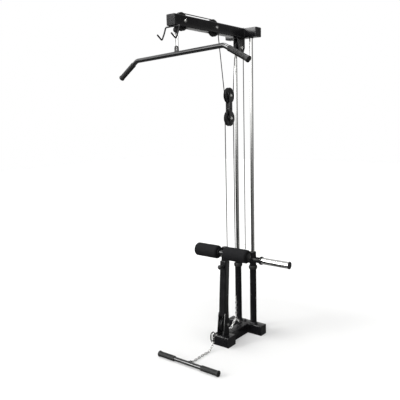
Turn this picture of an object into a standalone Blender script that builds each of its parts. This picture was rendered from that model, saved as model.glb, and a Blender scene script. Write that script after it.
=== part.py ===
"""Plate-loaded pulldown tower with a high pulley bar and a low row handle.

Metres, +Z up. The origin is on the floor, plumb below the middle of the two guide rods. The user
sits on the -Y side and every pulley turns in the plane X = 0.
"""

import math

import bmesh
import bpy
from mathutils import Matrix, Vector

# Driving dimensions
TOWER_HEIGHT = 2.220
ROD_SPACING = 0.132
ROD_RADIUS = 0.0127
TUBE_WALL = 0.003
TUBE_CORNER = 0.004
FIT_GAP = 0.0003
SLIDE_GAP = 0.0008
OVERCUT = 0.010

# Base
BASE_HEIGHT = 0.074
REAR_FOOT_LENGTH = 0.294
REAR_FOOT_DEPTH = 0.072
REAR_FOOT_Y = 0.011
FRONT_FOOT_LENGTH = 0.136
FRONT_FOOT_DEPTH = 0.095
FRONT_FOOT_Y = -0.2915
BEAM_WIDTH = 0.065
ANCHOR_LOOP_Y = -0.080
ANCHOR_LOOP_TOP = 0.104
LOW_BRACKET_TOP = 0.242
LOW_BRACKET_BACK = -0.270
LOW_BRACKET_FRONT = -0.336
LOW_BRACKET_TOP_FRONT = -0.317

# Guide posts, bumpers and carriage
POST_RADIUS = 0.024
POST_BORE = 0.016
POST_TOP = 0.500
POST_FLANGE_RADIUS = 0.031
POST_FLANGE_HEIGHT = 0.014
BUMPER_RADIUS = 0.032
BUMPER_HEIGHT = 0.028
SLEEVE_RADIUS = 0.0245
SLEEVE_HEIGHT = 0.102
CARRIAGE_BAR_DEPTH = 0.040
CARRIAGE_BAR_HEIGHT = 0.050
PEG_Z = 0.573
PEG_START = 0.146
PEG_END = 0.372
PEG_RADIUS = 0.0247
PEG_WALL = 0.003
STUB_RADIUS = 0.021
COLLAR_RADIUS = 0.031
COLLAR_THICKNESS = 0.012
LIFT_EYE_HEIGHT = 0.022

# Boom and top crossbar
CROSSBAR_LENGTH = 0.256
CROSSBAR_DEPTH = 0.068
CROSSBAR_HEIGHT = 0.064
BOOM_SIZE = 0.065
BOOM_FRONT_Y = -0.770
END_CAP_THICKNESS = 0.006
SLOT_WIDTH = 0.024
SLOT_LENGTH = 0.122

# Pulleys and cables
SHEAVE_RADIUS = 0.054
CABLE_TURN_RADIUS = 0.050
CABLE_RADIUS = 0.0025
GROOVE_CLEARANCE = 0.0012
SHEAVE_WIDTH = 0.018
AXLE_RADIUS = 0.005
PLATE_THICKNESS = 0.005
HANGER_INSIDE = 0.0155
HANGER_DEPTH = 0.084
HANGER_BOTTOM = 2.050
HANGER_CHAMFER = 0.020
FLOAT_INSIDE = 0.011
FRONT_PULLEY_Y = -0.672
MID_PULLEY_Y = -0.353
HANGER_PULLEY_Y = -0.050
HANGER_PULLEY_Z = 2.090
FLOAT_Y = -0.184
FLOAT_TOP_Z = 1.762
FLOAT_PITCH = 0.153
LOW_PULLEY_Z = 0.151
ANCHOR_CHAIN_TOP = 0.300
ROW_EYE_Y = -0.402
ROW_EYE_Z = 0.107
CHAIN_WIRE = 0.005
CHAIN_WIDTH = 0.016
CHAIN_PITCH = 0.022

# Leaning front upright with its telescoping post
UPRIGHT_SIZE = 0.050
UPRIGHT_WALL = 0.0035
UPRIGHT_LEAN = math.radians(3.9)
UPRIGHT_Y = -0.268
PIN_Z = 0.577
UPRIGHT_BOTTOM_Z = 0.214
UPRIGHT_TOP_Z = 0.612
INNER_POST_SIZE = 0.038
INNER_POST_DROP = 0.300
INNER_POST_RISE = 0.034
ROLLER_Z = 0.678
ROLLER_START = 0.026
ROLLER_LENGTH = 0.191
ROLLER_RADIUS = 0.047
ROLLER_AXLE_RADIUS = 0.017
PIN_HOLE_PITCH = 0.020
PIN_RADIUS = 0.004
KNOB_RADIUS = 0.0165

# Pulldown bar, hanging slightly turned and tipped on its carabiner
BAR_Z = 1.997
BAR_RADIUS = 0.014
BAR_WALL = 0.003
BAR_BEND_X = 0.375
BAR_END_X = 0.540
BAR_DROP = 0.092
BAR_YAW = math.radians(-6.0)
BAR_TIP = math.radians(1.2)
GRIP_LENGTH = 0.150
GRIP_RADIUS = 0.0168
STOPPER_RADIUS = 0.018
CARABINER_WIDTH = 0.028
CARABINER_LENGTH = 0.088
CARABINER_WIRE = 0.003

# Low row handle on the floor
HANDLE_Y = -0.705
HANDLE_HALF = 0.252
HANDLE_RADIUS = 0.0140
HANDLE_GRIP_LENGTH = 0.138
HANDLE_GRIP_RADIUS = 0.0180
HANDLE_FLANGE_RADIUS = 0.0205
ROW_EYE_WIDTH = 0.046
ROW_EYE_LENGTH = 0.063
ROW_EYE_WIRE = 0.0032
ROW_LINK_WIDTH = 0.026
ROW_LINK_LENGTH = 0.072

# Facets round a turned part
ROUND = 24
SMALL_ROUND = 16

# Values that follow from the driving dimensions
BOOM_AXIS_Z = TOWER_HEIGHT - BOOM_SIZE / 2
BOOM_BOTTOM = TOWER_HEIGHT - BOOM_SIZE
STOPPER_REACH = SHEAVE_RADIUS + STOPPER_RADIUS + 2 * FIT_GAP
STOPPER_Z = BOOM_AXIS_Z - math.sqrt(STOPPER_REACH ** 2 - CABLE_TURN_RADIUS ** 2)
CROSSBAR_Z = TOWER_HEIGHT - CROSSBAR_HEIGHT / 2
LAT_CABLE_Y = FRONT_PULLEY_Y - CABLE_TURN_RADIUS
LOW_CABLE_Y = FLOAT_Y - CABLE_TURN_RADIUS
ANCHOR_CABLE_Y = FLOAT_Y + CABLE_TURN_RADIUS
LOW_PULLEY_Y = LOW_CABLE_Y - CABLE_TURN_RADIUS
FLOAT_LOW_Z = FLOAT_TOP_Z - FLOAT_PITCH
SLEEVE_BOTTOM = POST_TOP + BUMPER_HEIGHT + 2 * FIT_GAP
SLEEVE_TOP = SLEEVE_BOTTOM + SLEEVE_HEIGHT
REAR_FOOT_FRONT = REAR_FOOT_Y - REAR_FOOT_DEPTH / 2
FRONT_FOOT_BACK = FRONT_FOOT_Y + FRONT_FOOT_DEPTH / 2
ALONG_X = Matrix.Rotation(math.pi / 2, 4, "Y")
ALONG_Y = Matrix.Rotation(-math.pi / 2, 4, "X")


# ---------------------------------------------------------------- materials

def finish(name, colour, roughness, metallic):
    """Principled material with one colour."""
    mat = bpy.data.materials.new(name)
    mat.use_nodes = True
    shader = mat.node_tree.nodes["Principled BSDF"]
    shader.inputs["Base Color"].default_value = (*colour, 1.0)
    shader.inputs["Roughness"].default_value = roughness
    shader.inputs["Metallic"].default_value = metallic
    return mat


def make_finishes():
    """Every finish on the machine, by name."""
    return {
        "paint": finish("black_powder_coat", (0.012, 0.012, 0.013), 0.38, 0.0),
        "chrome": finish("chrome_plate", (0.75, 0.76, 0.78), 0.10, 1.0),
        "zinc": finish("zinc_plated_steel", (0.62, 0.62, 0.60), 0.30, 1.0),
        "plastic": finish("black_plastic", (0.030, 0.030, 0.032), 0.50, 0.0),
        "rubber": finish("black_rubber", (0.015, 0.015, 0.015), 0.75, 0.0),
        "foam": finish("black_foam", (0.020, 0.020, 0.021), 0.90, 0.0),
        "cable": finish("coated_cable", (0.020, 0.020, 0.020), 0.35, 0.0),
    }


# ---------------------------------------------------------------- mesh helpers

def add(name, bm, mat, origin=(0, 0, 0), turn=(0, 0, 0)):
    """Make the mesh an object, shaded smooth between its sharp edges."""
    bmesh.ops.remove_doubles(bm, verts=bm.verts, dist=1e-6)
    bmesh.ops.recalc_face_normals(bm, faces=bm.faces)
    mesh = bpy.data.meshes.new(name)
    bm.to_mesh(mesh)
    bm.free()
    mesh.materials.append(mat)
    mesh.shade_smooth()
    mesh.set_sharp_from_angle(angle=math.radians(35))
    obj = bpy.data.objects.new(name, mesh)
    obj.location = origin
    obj.rotation_euler = turn
    bpy.context.collection.objects.link(obj)
    return obj


def boolean(obj, bm, operation, mat):
    """Cut the mesh out of the object, or join it on. The mesh is in the object's own space."""
    tool = add(f"{obj.name}_tool_{len(obj.modifiers)}", bm, mat)
    tool.location = obj.location
    tool.rotation_euler = obj.rotation_euler
    tool.hide_render = True
    tool.display_type = "WIRE"
    mod = obj.modifiers.new(operation.title(), "BOOLEAN")
    mod.operation = operation
    mod.solver = "EXACT"
    mod.object = tool


def box(low, high):
    """A box between two corners."""
    low, high = Vector(low), Vector(high)
    size = Matrix.Diagonal((*(high - low), 1.0))
    bm = bmesh.new()
    bmesh.ops.create_cube(bm, size=1.0, matrix=Matrix.Translation((low + high) / 2) @ size)
    return bm


def both_sides(bm, x):
    """Move the mesh out to +x and add its mirror image at -x."""
    bmesh.ops.translate(bm, vec=(x, 0, 0), verts=bm.verts)
    copy = bmesh.ops.duplicate(bm, geom=bm.verts[:] + bm.edges[:] + bm.faces[:])["geom"]
    verts = [item for item in copy if isinstance(item, bmesh.types.BMVert)]
    bmesh.ops.scale(bm, vec=(-1, 1, 1), verts=verts)
    return bm


def rounded_rectangle(width, height, corner, steps=3):
    """Points of a rounded rectangle about the origin, counter-clockwise."""
    points = []
    for quarter, (sx, sy) in enumerate(((1, 1), (-1, 1), (-1, -1), (1, -1))):
        centre = Vector((sx * (width / 2 - corner), sy * (height / 2 - corner)))
        for step in range(steps):
            angle = math.pi / 2 * (quarter + step / (steps - 1))
            points.append(centre + corner * Vector((math.cos(angle), math.sin(angle))))
    return points


def skin(bm, rings, closed=False):
    """Quads between rings of equal length. An open skin gets a flat face on each end."""
    loops = [[bm.verts.new(point) for point in ring] for ring in rings]
    pairs = list(zip(loops, loops[1:]))
    if closed:
        pairs.append((loops[-1], loops[0]))
    for first, second in pairs:
        for i in range(len(first)):
            j = (i + 1) % len(first)
            bm.faces.new((first[i], first[j], second[j], second[i]))
    if not closed:
        bm.faces.new(loops[0])
        bm.faces.new(loops[-1])


def square_tube(width, height, start, end, wall, turn):
    """Hollow tube along its own Z, then turned."""
    outer = rounded_rectangle(width, height, TUBE_CORNER)
    inner = rounded_rectangle(width - 2 * wall, height - 2 * wall, TUBE_CORNER / 2)
    bm = bmesh.new()
    rings = [[(*p, start) for p in outer], [(*p, end) for p in outer],
             [(*p, end) for p in inner], [(*p, start) for p in inner]]
    skin(bm, rings, closed=True)
    bmesh.ops.transform(bm, matrix=turn, verts=bm.verts)
    return bm


def turned(profile, turn=Matrix(), segments=ROUND):
    """Turn a closed (radius, height) profile about Z. Radius 0 lies on the axis."""
    bm = bmesh.new()
    columns = []
    for i in range(segments):
        angle = 2 * math.pi * i / segments
        columns.append([(r * math.cos(angle), r * math.sin(angle), h) for r, h in profile])
    on_axis = profile[0][0] == 0
    for i, column in enumerate(columns):
        following = columns[(i + 1) % segments]
        count = len(column) - 1 if on_axis else len(column)
        for k in range(count):
            m = (k + 1) % len(column)
            corners = [column[k], following[k], following[m], column[m]]
            if profile[k][0] == 0:
                corners.pop(1)
            elif profile[m][0] == 0:
                corners.pop(2)
            bm.faces.new([bm.verts.new(point) for point in corners])
    bmesh.ops.remove_doubles(bm, verts=bm.verts, dist=1e-6)
    bmesh.ops.transform(bm, matrix=turn, verts=bm.verts)
    return bm


def cylinder(radius, start, end, turn=Matrix(), segments=ROUND):
    return turned([(0, start), (radius, start), (radius, end), (0, end)], turn, segments)


def pipe(radius, bore, start, end, turn=Matrix(), segments=ROUND):
    return turned([(radius, start), (radius, end), (bore, end), (bore, start)], turn, segments)


def cross_hole(y, z, segments=12):
    """Cutter along X for an axle's clearance hole."""
    hole = cylinder(AXLE_RADIUS + FIT_GAP, -BOOM_SIZE, BOOM_SIZE, ALONG_X, segments)
    bmesh.ops.translate(hole, vec=(0, y, z), verts=hole.verts)
    return hole


def rounded_path(points, radius, steps=4):
    """The corner points of a path, each inner corner replaced by an arc."""
    points = [Vector(p) for p in points]
    path = [points[0]]
    for before, corner, after in zip(points, points[1:], points[2:]):
        to_before = (before - corner).normalized()
        to_after = (after - corner).normalized()
        half = to_before.angle(to_after) / 2
        reach = radius / math.tan(half)
        start = corner + to_before * reach
        end = corner + to_after * reach
        centre = corner + (to_before + to_after).normalized() * radius / math.sin(half)
        for step in range(steps + 1):
            ray = (start - centre).lerp(end - centre, step / steps)
            path.append(centre + ray.normalized() * radius)
    path.append(points[-1])
    return path


def path_frames(path, closed):
    """A plane at each point of a path, carried along without twist."""
    frames = []
    count = len(path)
    side = None
    for i, point in enumerate(path):
        before = path[(i - 1) % count] if closed or i else point
        after = path[(i + 1) % count] if closed or i < count - 1 else point
        along = (after - before).normalized()
        if side is None:
            side = along.orthogonal().normalized()
        side = (side - along * side.dot(along)).normalized()
        frames.append((point, side, along.cross(side)))
    return frames


def swept(path, radius, sides=6, bore=0.0, closed=False):
    """A round rod along a path, or a pipe where there is a bore."""
    path = [Vector(p) for p in path]
    frames = path_frames(path, closed)

    def ring(frame, size):
        point, side, other = frame
        angles = [2 * math.pi * k / sides for k in range(sides)]
        return [point + size * (math.cos(a) * side + math.sin(a) * other) for a in angles]

    bm = bmesh.new()
    rings = [ring(frame, radius) for frame in frames]
    if bore:
        rings += [ring(frame, bore) for frame in reversed(frames)]
    skin(bm, rings, closed=closed or bore > 0)
    return bm


def stadium(width, length, steps=6):
    """Centre line of an oval link in the YZ plane, its length along Z."""
    turn_radius = width / 2
    reach = length / 2 - turn_radius
    path = []
    for end in (1, -1):
        for step in range(steps + 1):
            angle = math.pi * step / steps
            across = end * turn_radius * math.cos(angle)
            path.append(Vector((0, across, end * (reach + turn_radius * math.sin(angle)))))
    return path


def chain(path, pitch, wire, width):
    """One closed body with a chain's outline: flat lobes, each a quarter turn from the last."""
    path = [Vector(p) for p in path]
    lengths = [0.0]
    for first, second in zip(path, path[1:]):
        lengths.append(lengths[-1] + (second - first).length)
    links = round(lengths[-1] / pitch)
    stations = []
    for i in range(2 * links + 1):
        along = lengths[-1] * i / (2 * links)
        k = max(j for j in range(len(path) - 1) if lengths[j] <= along + 1e-9)
        share = (along - lengths[k]) / (lengths[k + 1] - lengths[k])
        stations.append(path[k].lerp(path[k + 1], share))
    rings = []
    for i, (point, side, other) in enumerate(path_frames(stations, False)):
        flat = wire if i % 2 == 0 else width
        lobe = (i // 2) % 2
        reach = (flat, wire) if lobe else (wire, flat)
        angles = [math.pi * k / 3 for k in range(6)]
        rings.append([point + reach[0] / 2 * math.cos(a) * side + reach[1] / 2 * math.sin(a) * other
                      for a in angles])
    bm = bmesh.new()
    skin(bm, rings)
    return bm


# ---------------------------------------------------------------- cable geometry, in the YZ plane

def tangent(first, first_sense, second, second_sense):
    """Where a cable leaves one sheave and meets the next. Sense +1 winds anticlockwise."""
    span = second - first
    offset = CABLE_TURN_RADIUS * (second_sense - first_sense)
    run = math.sqrt(span.length_squared - offset ** 2)
    heading = math.atan2(span.y, span.x) - math.atan2(offset, run)
    normal = Vector((-math.sin(heading), math.cos(heading)))
    leave = first - first_sense * CABLE_TURN_RADIUS * normal
    meet = second - second_sense * CABLE_TURN_RADIUS * normal
    return leave, meet


def wrap(centre, start, end, sense, steps=9):
    """Cable points round a sheave from one point of it to another."""
    first = math.atan2(start.y - centre.y, start.x - centre.x)
    last = math.atan2(end.y - centre.y, end.x - centre.x)
    sweep = (last - first) * sense % (2 * math.pi) * sense
    angles = [first + sweep * step / steps for step in range(steps + 1)]
    return [centre + CABLE_TURN_RADIUS * Vector((math.cos(a), math.sin(a))) for a in angles]


def in_plane(points):
    """Lift (y, z) points into the plane X = 0."""
    return [Vector((0, p[0], p[1])) for p in points]


FRONT_PULLEY = Vector((FRONT_PULLEY_Y, BOOM_AXIS_Z))
MID_PULLEY = Vector((MID_PULLEY_Y, BOOM_AXIS_Z))
HANGER_PULLEY = Vector((HANGER_PULLEY_Y, HANGER_PULLEY_Z))
FLOAT_TOP = Vector((FLOAT_Y, FLOAT_TOP_Z))
FLOAT_LOW = Vector((FLOAT_Y, FLOAT_LOW_Z))
LOW_PULLEY = Vector((LOW_PULLEY_Y, LOW_PULLEY_Z))


# ---------------------------------------------------------------- base

def make_base(mats):
    paint = mats["paint"]
    half = REAR_FOOT_LENGTH / 2
    bm = square_tube(BASE_HEIGHT, REAR_FOOT_DEPTH, -half, half, TUBE_WALL, ALONG_X)
    add("rear_foot", bm, paint, (0, REAR_FOOT_Y, BASE_HEIGHT / 2))

    half = FRONT_FOOT_LENGTH / 2
    bm = square_tube(BASE_HEIGHT, FRONT_FOOT_DEPTH, -half, half, TUBE_WALL, ALONG_X)
    add("front_foot", bm, paint, (0, FRONT_FOOT_Y, BASE_HEIGHT / 2))

    start, end = FRONT_FOOT_BACK + FIT_GAP, REAR_FOOT_FRONT - FIT_GAP
    bm = square_tube(BEAM_WIDTH, BASE_HEIGHT, start, end, TUBE_WALL, ALONG_Y)
    beam = add("base_beam", bm, paint, (0, 0, BASE_HEIGHT / 2))
    foot, top, spread = BASE_HEIGHT / 2 - 0.0015, ANCHOR_LOOP_TOP - BASE_HEIGHT / 2, 0.013
    corners = [(0, ANCHOR_LOOP_Y + y, z) for y, z in
               ((-spread, foot), (-spread, top), (spread, top), (spread, foot))]
    boolean(beam, swept(rounded_path(corners, 0.011), 0.0035), "UNION", paint)


def make_guides(mats):
    for side, sign in (("left", -1), ("right", 1)):
        x = sign * ROD_SPACING / 2
        foot = BASE_HEIGHT + FIT_GAP
        flange_top = foot + POST_FLANGE_HEIGHT
        profile = [(POST_FLANGE_RADIUS, foot), (POST_FLANGE_RADIUS, flange_top - 0.004),
                   (POST_RADIUS, flange_top), (POST_RADIUS, POST_TOP),
                   (POST_BORE, POST_TOP), (POST_BORE, foot)]
        add(f"guide_post_{side}", turned(profile), mats["paint"], (x, 0, 0))

        bore, low = ROD_RADIUS + FIT_GAP, POST_TOP + FIT_GAP
        high = low + BUMPER_HEIGHT
        shoulder = BUMPER_HEIGHT / 4
        profile = [(bore, low), (BUMPER_RADIUS - 0.004, low), (BUMPER_RADIUS, low + shoulder),
                   (BUMPER_RADIUS, high - shoulder), (BUMPER_RADIUS - 0.004, high), (bore, high)]
        add(f"bumper_{side}", turned(profile, segments=SMALL_ROUND), mats["rubber"], (x, 0, 0))

        top = TOWER_HEIGHT - TUBE_WALL - FIT_GAP
        rod = cylinder(ROD_RADIUS, foot + FIT_GAP, top)
        add(f"guide_rod_{side}", rod, mats["chrome"], (x, 0, 0))


def make_low_bracket(mats):
    """Two plates on a base plate, round the upright's foot and the low pulley."""
    inner = UPRIGHT_SIZE / 2 + FIT_GAP
    outer = inner + PLATE_THICKNESS
    foot, top = BASE_HEIGHT + FIT_GAP, LOW_BRACKET_TOP
    front, back = LOW_BRACKET_FRONT, LOW_BRACKET_BACK
    outline = [(front, foot), (back, foot), (back, top), (LOW_BRACKET_TOP_FRONT, top)]
    bm = bmesh.new()
    skin(bm, [[(x, y, z) for y, z in outline] for x in (-outer, outer)])
    bracket = add("low_bracket", bm, mats["paint"])
    gap = box((-inner, front - OVERCUT, foot + PLATE_THICKNESS), (inner, back + OVERCUT, top + OVERCUT))
    boolean(bracket, gap, "DIFFERENCE", mats["paint"])
    boolean(bracket, cross_hole(LOW_PULLEY_Y, LOW_PULLEY_Z), "DIFFERENCE", mats["paint"])


# ---------------------------------------------------------------- top frame

def end_cap(width, height, depth=0.012):
    """A plug with a flange. The flange faces +Z and the plug goes down into the tube."""
    bm = bmesh.new()
    inside = 2 * (TUBE_WALL + FIT_GAP)
    flange = rounded_rectangle(width, height, TUBE_CORNER)
    plug = rounded_rectangle(width - inside, height - inside, TUBE_CORNER / 2)
    crown = rounded_rectangle(width - 0.004, height - 0.004, TUBE_CORNER)
    thickness = END_CAP_THICKNESS
    rings = [[(*p, -depth) for p in plug], [(*p, 0) for p in plug], [(*p, 0) for p in flange],
             [(*p, thickness - 0.002) for p in flange], [(*p, thickness) for p in crown]]
    skin(bm, rings)
    return bm


def make_top_frame(mats):
    paint = mats["paint"]
    half = CROSSBAR_LENGTH / 2 - END_CAP_THICKNESS
    bm = square_tube(CROSSBAR_HEIGHT, CROSSBAR_DEPTH, -half, half, TUBE_WALL, ALONG_X)
    crossbar = add("top_crossbar", bm, paint, (0, 0, CROSSBAR_Z))
    holes = both_sides(cylinder(ROD_RADIUS + FIT_GAP, -CROSSBAR_HEIGHT, 0), ROD_SPACING / 2)
    boolean(crossbar, holes, "DIFFERENCE", paint)

    for side, sign in (("left", -1), ("right", 1)):
        cap = end_cap(CROSSBAR_HEIGHT, CROSSBAR_DEPTH)
        face = sign * (half + FIT_GAP)
        add(f"crossbar_cap_{side}", cap, mats["plastic"], (face, 0, CROSSBAR_Z),
            (0, sign * math.pi / 2, 0))

    start = BOOM_FRONT_Y + END_CAP_THICKNESS
    end = -CROSSBAR_DEPTH / 2 - FIT_GAP
    bm = square_tube(BOOM_SIZE, BOOM_SIZE, start, end, TUBE_WALL, ALONG_Y)
    boom = add("boom", bm, paint, (0, 0, BOOM_AXIS_Z))
    for y in (FRONT_PULLEY_Y, MID_PULLEY_Y):
        reach = (SLOT_WIDTH / 2, SLOT_LENGTH / 2, BOOM_SIZE)
        slot = box((-reach[0], y - reach[1], -reach[2]), (reach[0], y + reach[1], reach[2]))
        boolean(boom, slot, "DIFFERENCE", paint)
        boolean(boom, cross_hole(y, 0), "DIFFERENCE", paint)

    cap = end_cap(BOOM_SIZE, BOOM_SIZE)
    add("boom_cap", cap, mats["plastic"], (0, start - FIT_GAP, BOOM_AXIS_Z), (math.pi / 2, 0, 0))


def make_hanger(mats):
    """Bracket under the boom that carries the pulley above the carriage."""
    inner, outer = HANGER_INSIDE, HANGER_INSIDE + PLATE_THICKNESS
    front, back = HANGER_PULLEY_Y - HANGER_DEPTH / 2, HANGER_PULLEY_Y + HANGER_DEPTH / 2
    low, top, chamfer = HANGER_BOTTOM, BOOM_BOTTOM - FIT_GAP, HANGER_CHAMFER
    outline = [(front, top), (front, low + 2 * chamfer), (front + chamfer, low),
               (back - chamfer, low), (back, low + 2 * chamfer), (back, top)]
    bm = bmesh.new()
    skin(bm, [[(x, y, z) for y, z in outline] for x in (-outer, outer)])
    bracket = add("hanger_bracket", bm, mats["paint"])
    gap = box((-inner, front - OVERCUT, low - OVERCUT), (inner, back + OVERCUT, top - PLATE_THICKNESS))
    boolean(bracket, gap, "DIFFERENCE", mats["paint"])
    boolean(bracket, cross_hole(HANGER_PULLEY_Y, HANGER_PULLEY_Z), "DIFFERENCE", mats["paint"])


def make_bar_hooks(mats):
    """One rod under the boom, bent at both ends into hooks that keep the spare bars."""
    radius = 0.004
    x, z = 0.054, BOOM_BOTTOM - radius - FIT_GAP
    half = [(x, -0.752, z), (x, -0.768, 2.112), (x, -0.790, 2.072), (x, -0.829, 2.100)]
    mirrored = [(-px, py, pz) for px, py, pz in reversed(half)]
    path = rounded_path(mirrored + half, 0.008, 3)
    add("bar_hooks", swept(path, radius), mats["paint"])


# ---------------------------------------------------------------- pulleys

def sheave(hub_half):
    """Grooved wheel with a thin web and a hub, turned about X."""
    rim, width = SHEAVE_RADIUS, SHEAVE_WIDTH / 2
    groove = CABLE_TURN_RADIUS - CABLE_RADIUS - GROOVE_CLEARANCE
    half = [(AXLE_RADIUS + SLIDE_GAP, hub_half), (0.012, hub_half), (0.013, 0.0055),
            (0.041, 0.0055), (0.043, width), (rim, width - 0.001), (groove, 0.0022)]
    profile = half + [(r, -h) for r, h in reversed(half)]
    return turned(profile, ALONG_X)


def axle_bolt(grip_half, head_radius=0.0085, head=0.006):
    """Shank with a head on one end and a nut on the other, along X."""
    out = grip_half + head
    profile = [(0, -out), (head_radius, -out), (head_radius, -grip_half), (AXLE_RADIUS, -grip_half),
               (AXLE_RADIUS, grip_half), (head_radius, grip_half), (head_radius, out), (0, out)]
    return turned(profile, ALONG_X, 12)


def make_pulleys(mats):
    places = {
        "front": (FRONT_PULLEY, BOOM_SIZE / 2 - TUBE_WALL, TUBE_WALL),
        "mid": (MID_PULLEY, BOOM_SIZE / 2 - TUBE_WALL, TUBE_WALL),
        "hanger": (HANGER_PULLEY, HANGER_INSIDE, PLATE_THICKNESS),
        "low": (LOW_PULLEY, UPRIGHT_SIZE / 2 + FIT_GAP, PLATE_THICKNESS),
        "float_top": (FLOAT_TOP, FLOAT_INSIDE, PLATE_THICKNESS),
        "float_low": (FLOAT_LOW, FLOAT_INSIDE, PLATE_THICKNESS),
    }
    for name, (centre, inside, thickness) in places.items():
        at = (0, centre.x, centre.y)
        add(f"{name}_pulley", sheave(inside - SLIDE_GAP), mats["plastic"], at)
        add(f"{name}_axle", axle_bolt(inside + thickness + FIT_GAP), mats["zinc"], at)


def make_float_block(mats):
    """Two flat bars held apart by two small spacers, with a sheave at each end."""
    inner, outer = FLOAT_INSIDE, FLOAT_INSIDE + PLATE_THICKNESS
    half_width, steps = 0.018, 5
    spacer_z, spacer_y, spacer_radius = -0.088, 0.0085, 0.004
    outline = []
    for end, z in ((1, 0.0), (-1, -FLOAT_PITCH)):
        for step in range(steps + 1):
            angle = math.pi * step / steps
            outline.append((end * half_width * math.cos(angle),
                            z + end * half_width * math.sin(angle)))
    bm = bmesh.new()
    skin(bm, [[(x, y, z) for y, z in outline] for x in (-outer, outer)])
    block = add("float_plates", bm, mats["paint"], (0, FLOAT_Y, FLOAT_TOP_Z))
    paint = mats["paint"]
    reach = 2 * FLOAT_PITCH
    boolean(block, box((-inner, -reach, -reach), (inner, reach, reach)), "DIFFERENCE", paint)
    for z in (0.0, -FLOAT_PITCH):
        boolean(block, cross_hole(0, z, 10), "DIFFERENCE", paint)
    for y in (-spacer_y, spacer_y):
        spacer = cylinder(spacer_radius, -outer - 0.003, outer + 0.003, ALONG_X, 8)
        bmesh.ops.translate(spacer, vec=(0, y, spacer_z), verts=spacer.verts)
        boolean(block, spacer, "UNION", paint)


# ---------------------------------------------------------------- cables and chains

def make_cables(mats):
    mat = mats["cable"]
    gap = Vector((0, FIT_GAP))
    leave_front, meet_mid = tangent(FRONT_PULLEY, -1, MID_PULLEY, -1)
    leave_mid, meet_float = tangent(MID_PULLEY, -1, FLOAT_TOP, 1)
    leave_float, meet_hanger = tangent(FLOAT_TOP, 1, HANGER_PULLEY, -1)
    front_side = FRONT_PULLEY - Vector((CABLE_TURN_RADIUS, 0))
    carriage_side = HANGER_PULLEY + Vector((CABLE_TURN_RADIUS, 0))

    top = wrap(FRONT_PULLEY, front_side, leave_front, -1) + wrap(MID_PULLEY, meet_mid, leave_mid, -1)
    add("top_cable", swept(in_plane(top), CABLE_RADIUS), mat)

    into_loop = leave_mid + (meet_float - leave_mid).normalized() * 2 * FIT_GAP
    loop = [into_loop] + wrap(FLOAT_TOP, meet_float, leave_float, 1)
    loop += wrap(HANGER_PULLEY, meet_hanger, carriage_side, -1)
    add("high_loop_cable", swept(in_plane(loop), CABLE_RADIUS), mat)

    lift_end = Vector((0, SLEEVE_TOP + LIFT_EYE_HEIGHT + FIT_GAP))
    lift = [carriage_side - 2 * gap, Vector((carriage_side.x, lift_end.y))]
    add("lift_cable", swept(in_plane(lift), CABLE_RADIUS), mat)

    drop = [front_side - 2 * gap, Vector((LAT_CABLE_Y, STOPPER_Z + STOPPER_RADIUS + FIT_GAP))]
    add("lat_cable", swept(in_plane(drop), CABLE_RADIUS), mat)

    back_side = LOW_PULLEY + Vector((CABLE_TURN_RADIUS, 0))
    under = LOW_PULLEY - Vector((0, CABLE_TURN_RADIUS))
    over = [FLOAT_LOW + Vector((sign * CABLE_TURN_RADIUS, 0)) for sign in (1, -1)]
    low = [Vector((ANCHOR_CABLE_Y, ANCHOR_CHAIN_TOP + FIT_GAP))]
    low += wrap(FLOAT_LOW, over[0], over[1], 1) + wrap(LOW_PULLEY, back_side, under, -1)
    add("low_loop_cable", swept(in_plane(low), CABLE_RADIUS), mat)

    z = LOW_PULLEY_Z - CABLE_TURN_RADIUS
    row = [Vector((LOW_PULLEY_Y - 2 * FIT_GAP, z)), Vector((ROW_EYE_Y + FIT_GAP, z))]
    add("row_cable", swept(in_plane(row), CABLE_RADIUS), mat)


def make_anchor_chain(mats):
    """Chain from the low cable's end to the loop on the base."""
    path = [(0, ANCHOR_CABLE_Y, ANCHOR_CHAIN_TOP), (0, ANCHOR_CABLE_Y, 0.165), (0, -0.0925, 0.110)]
    add("anchor_chain", chain(path, CHAIN_PITCH, CHAIN_WIRE, CHAIN_WIDTH), mats["zinc"])


# ---------------------------------------------------------------- pulldown bar

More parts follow.
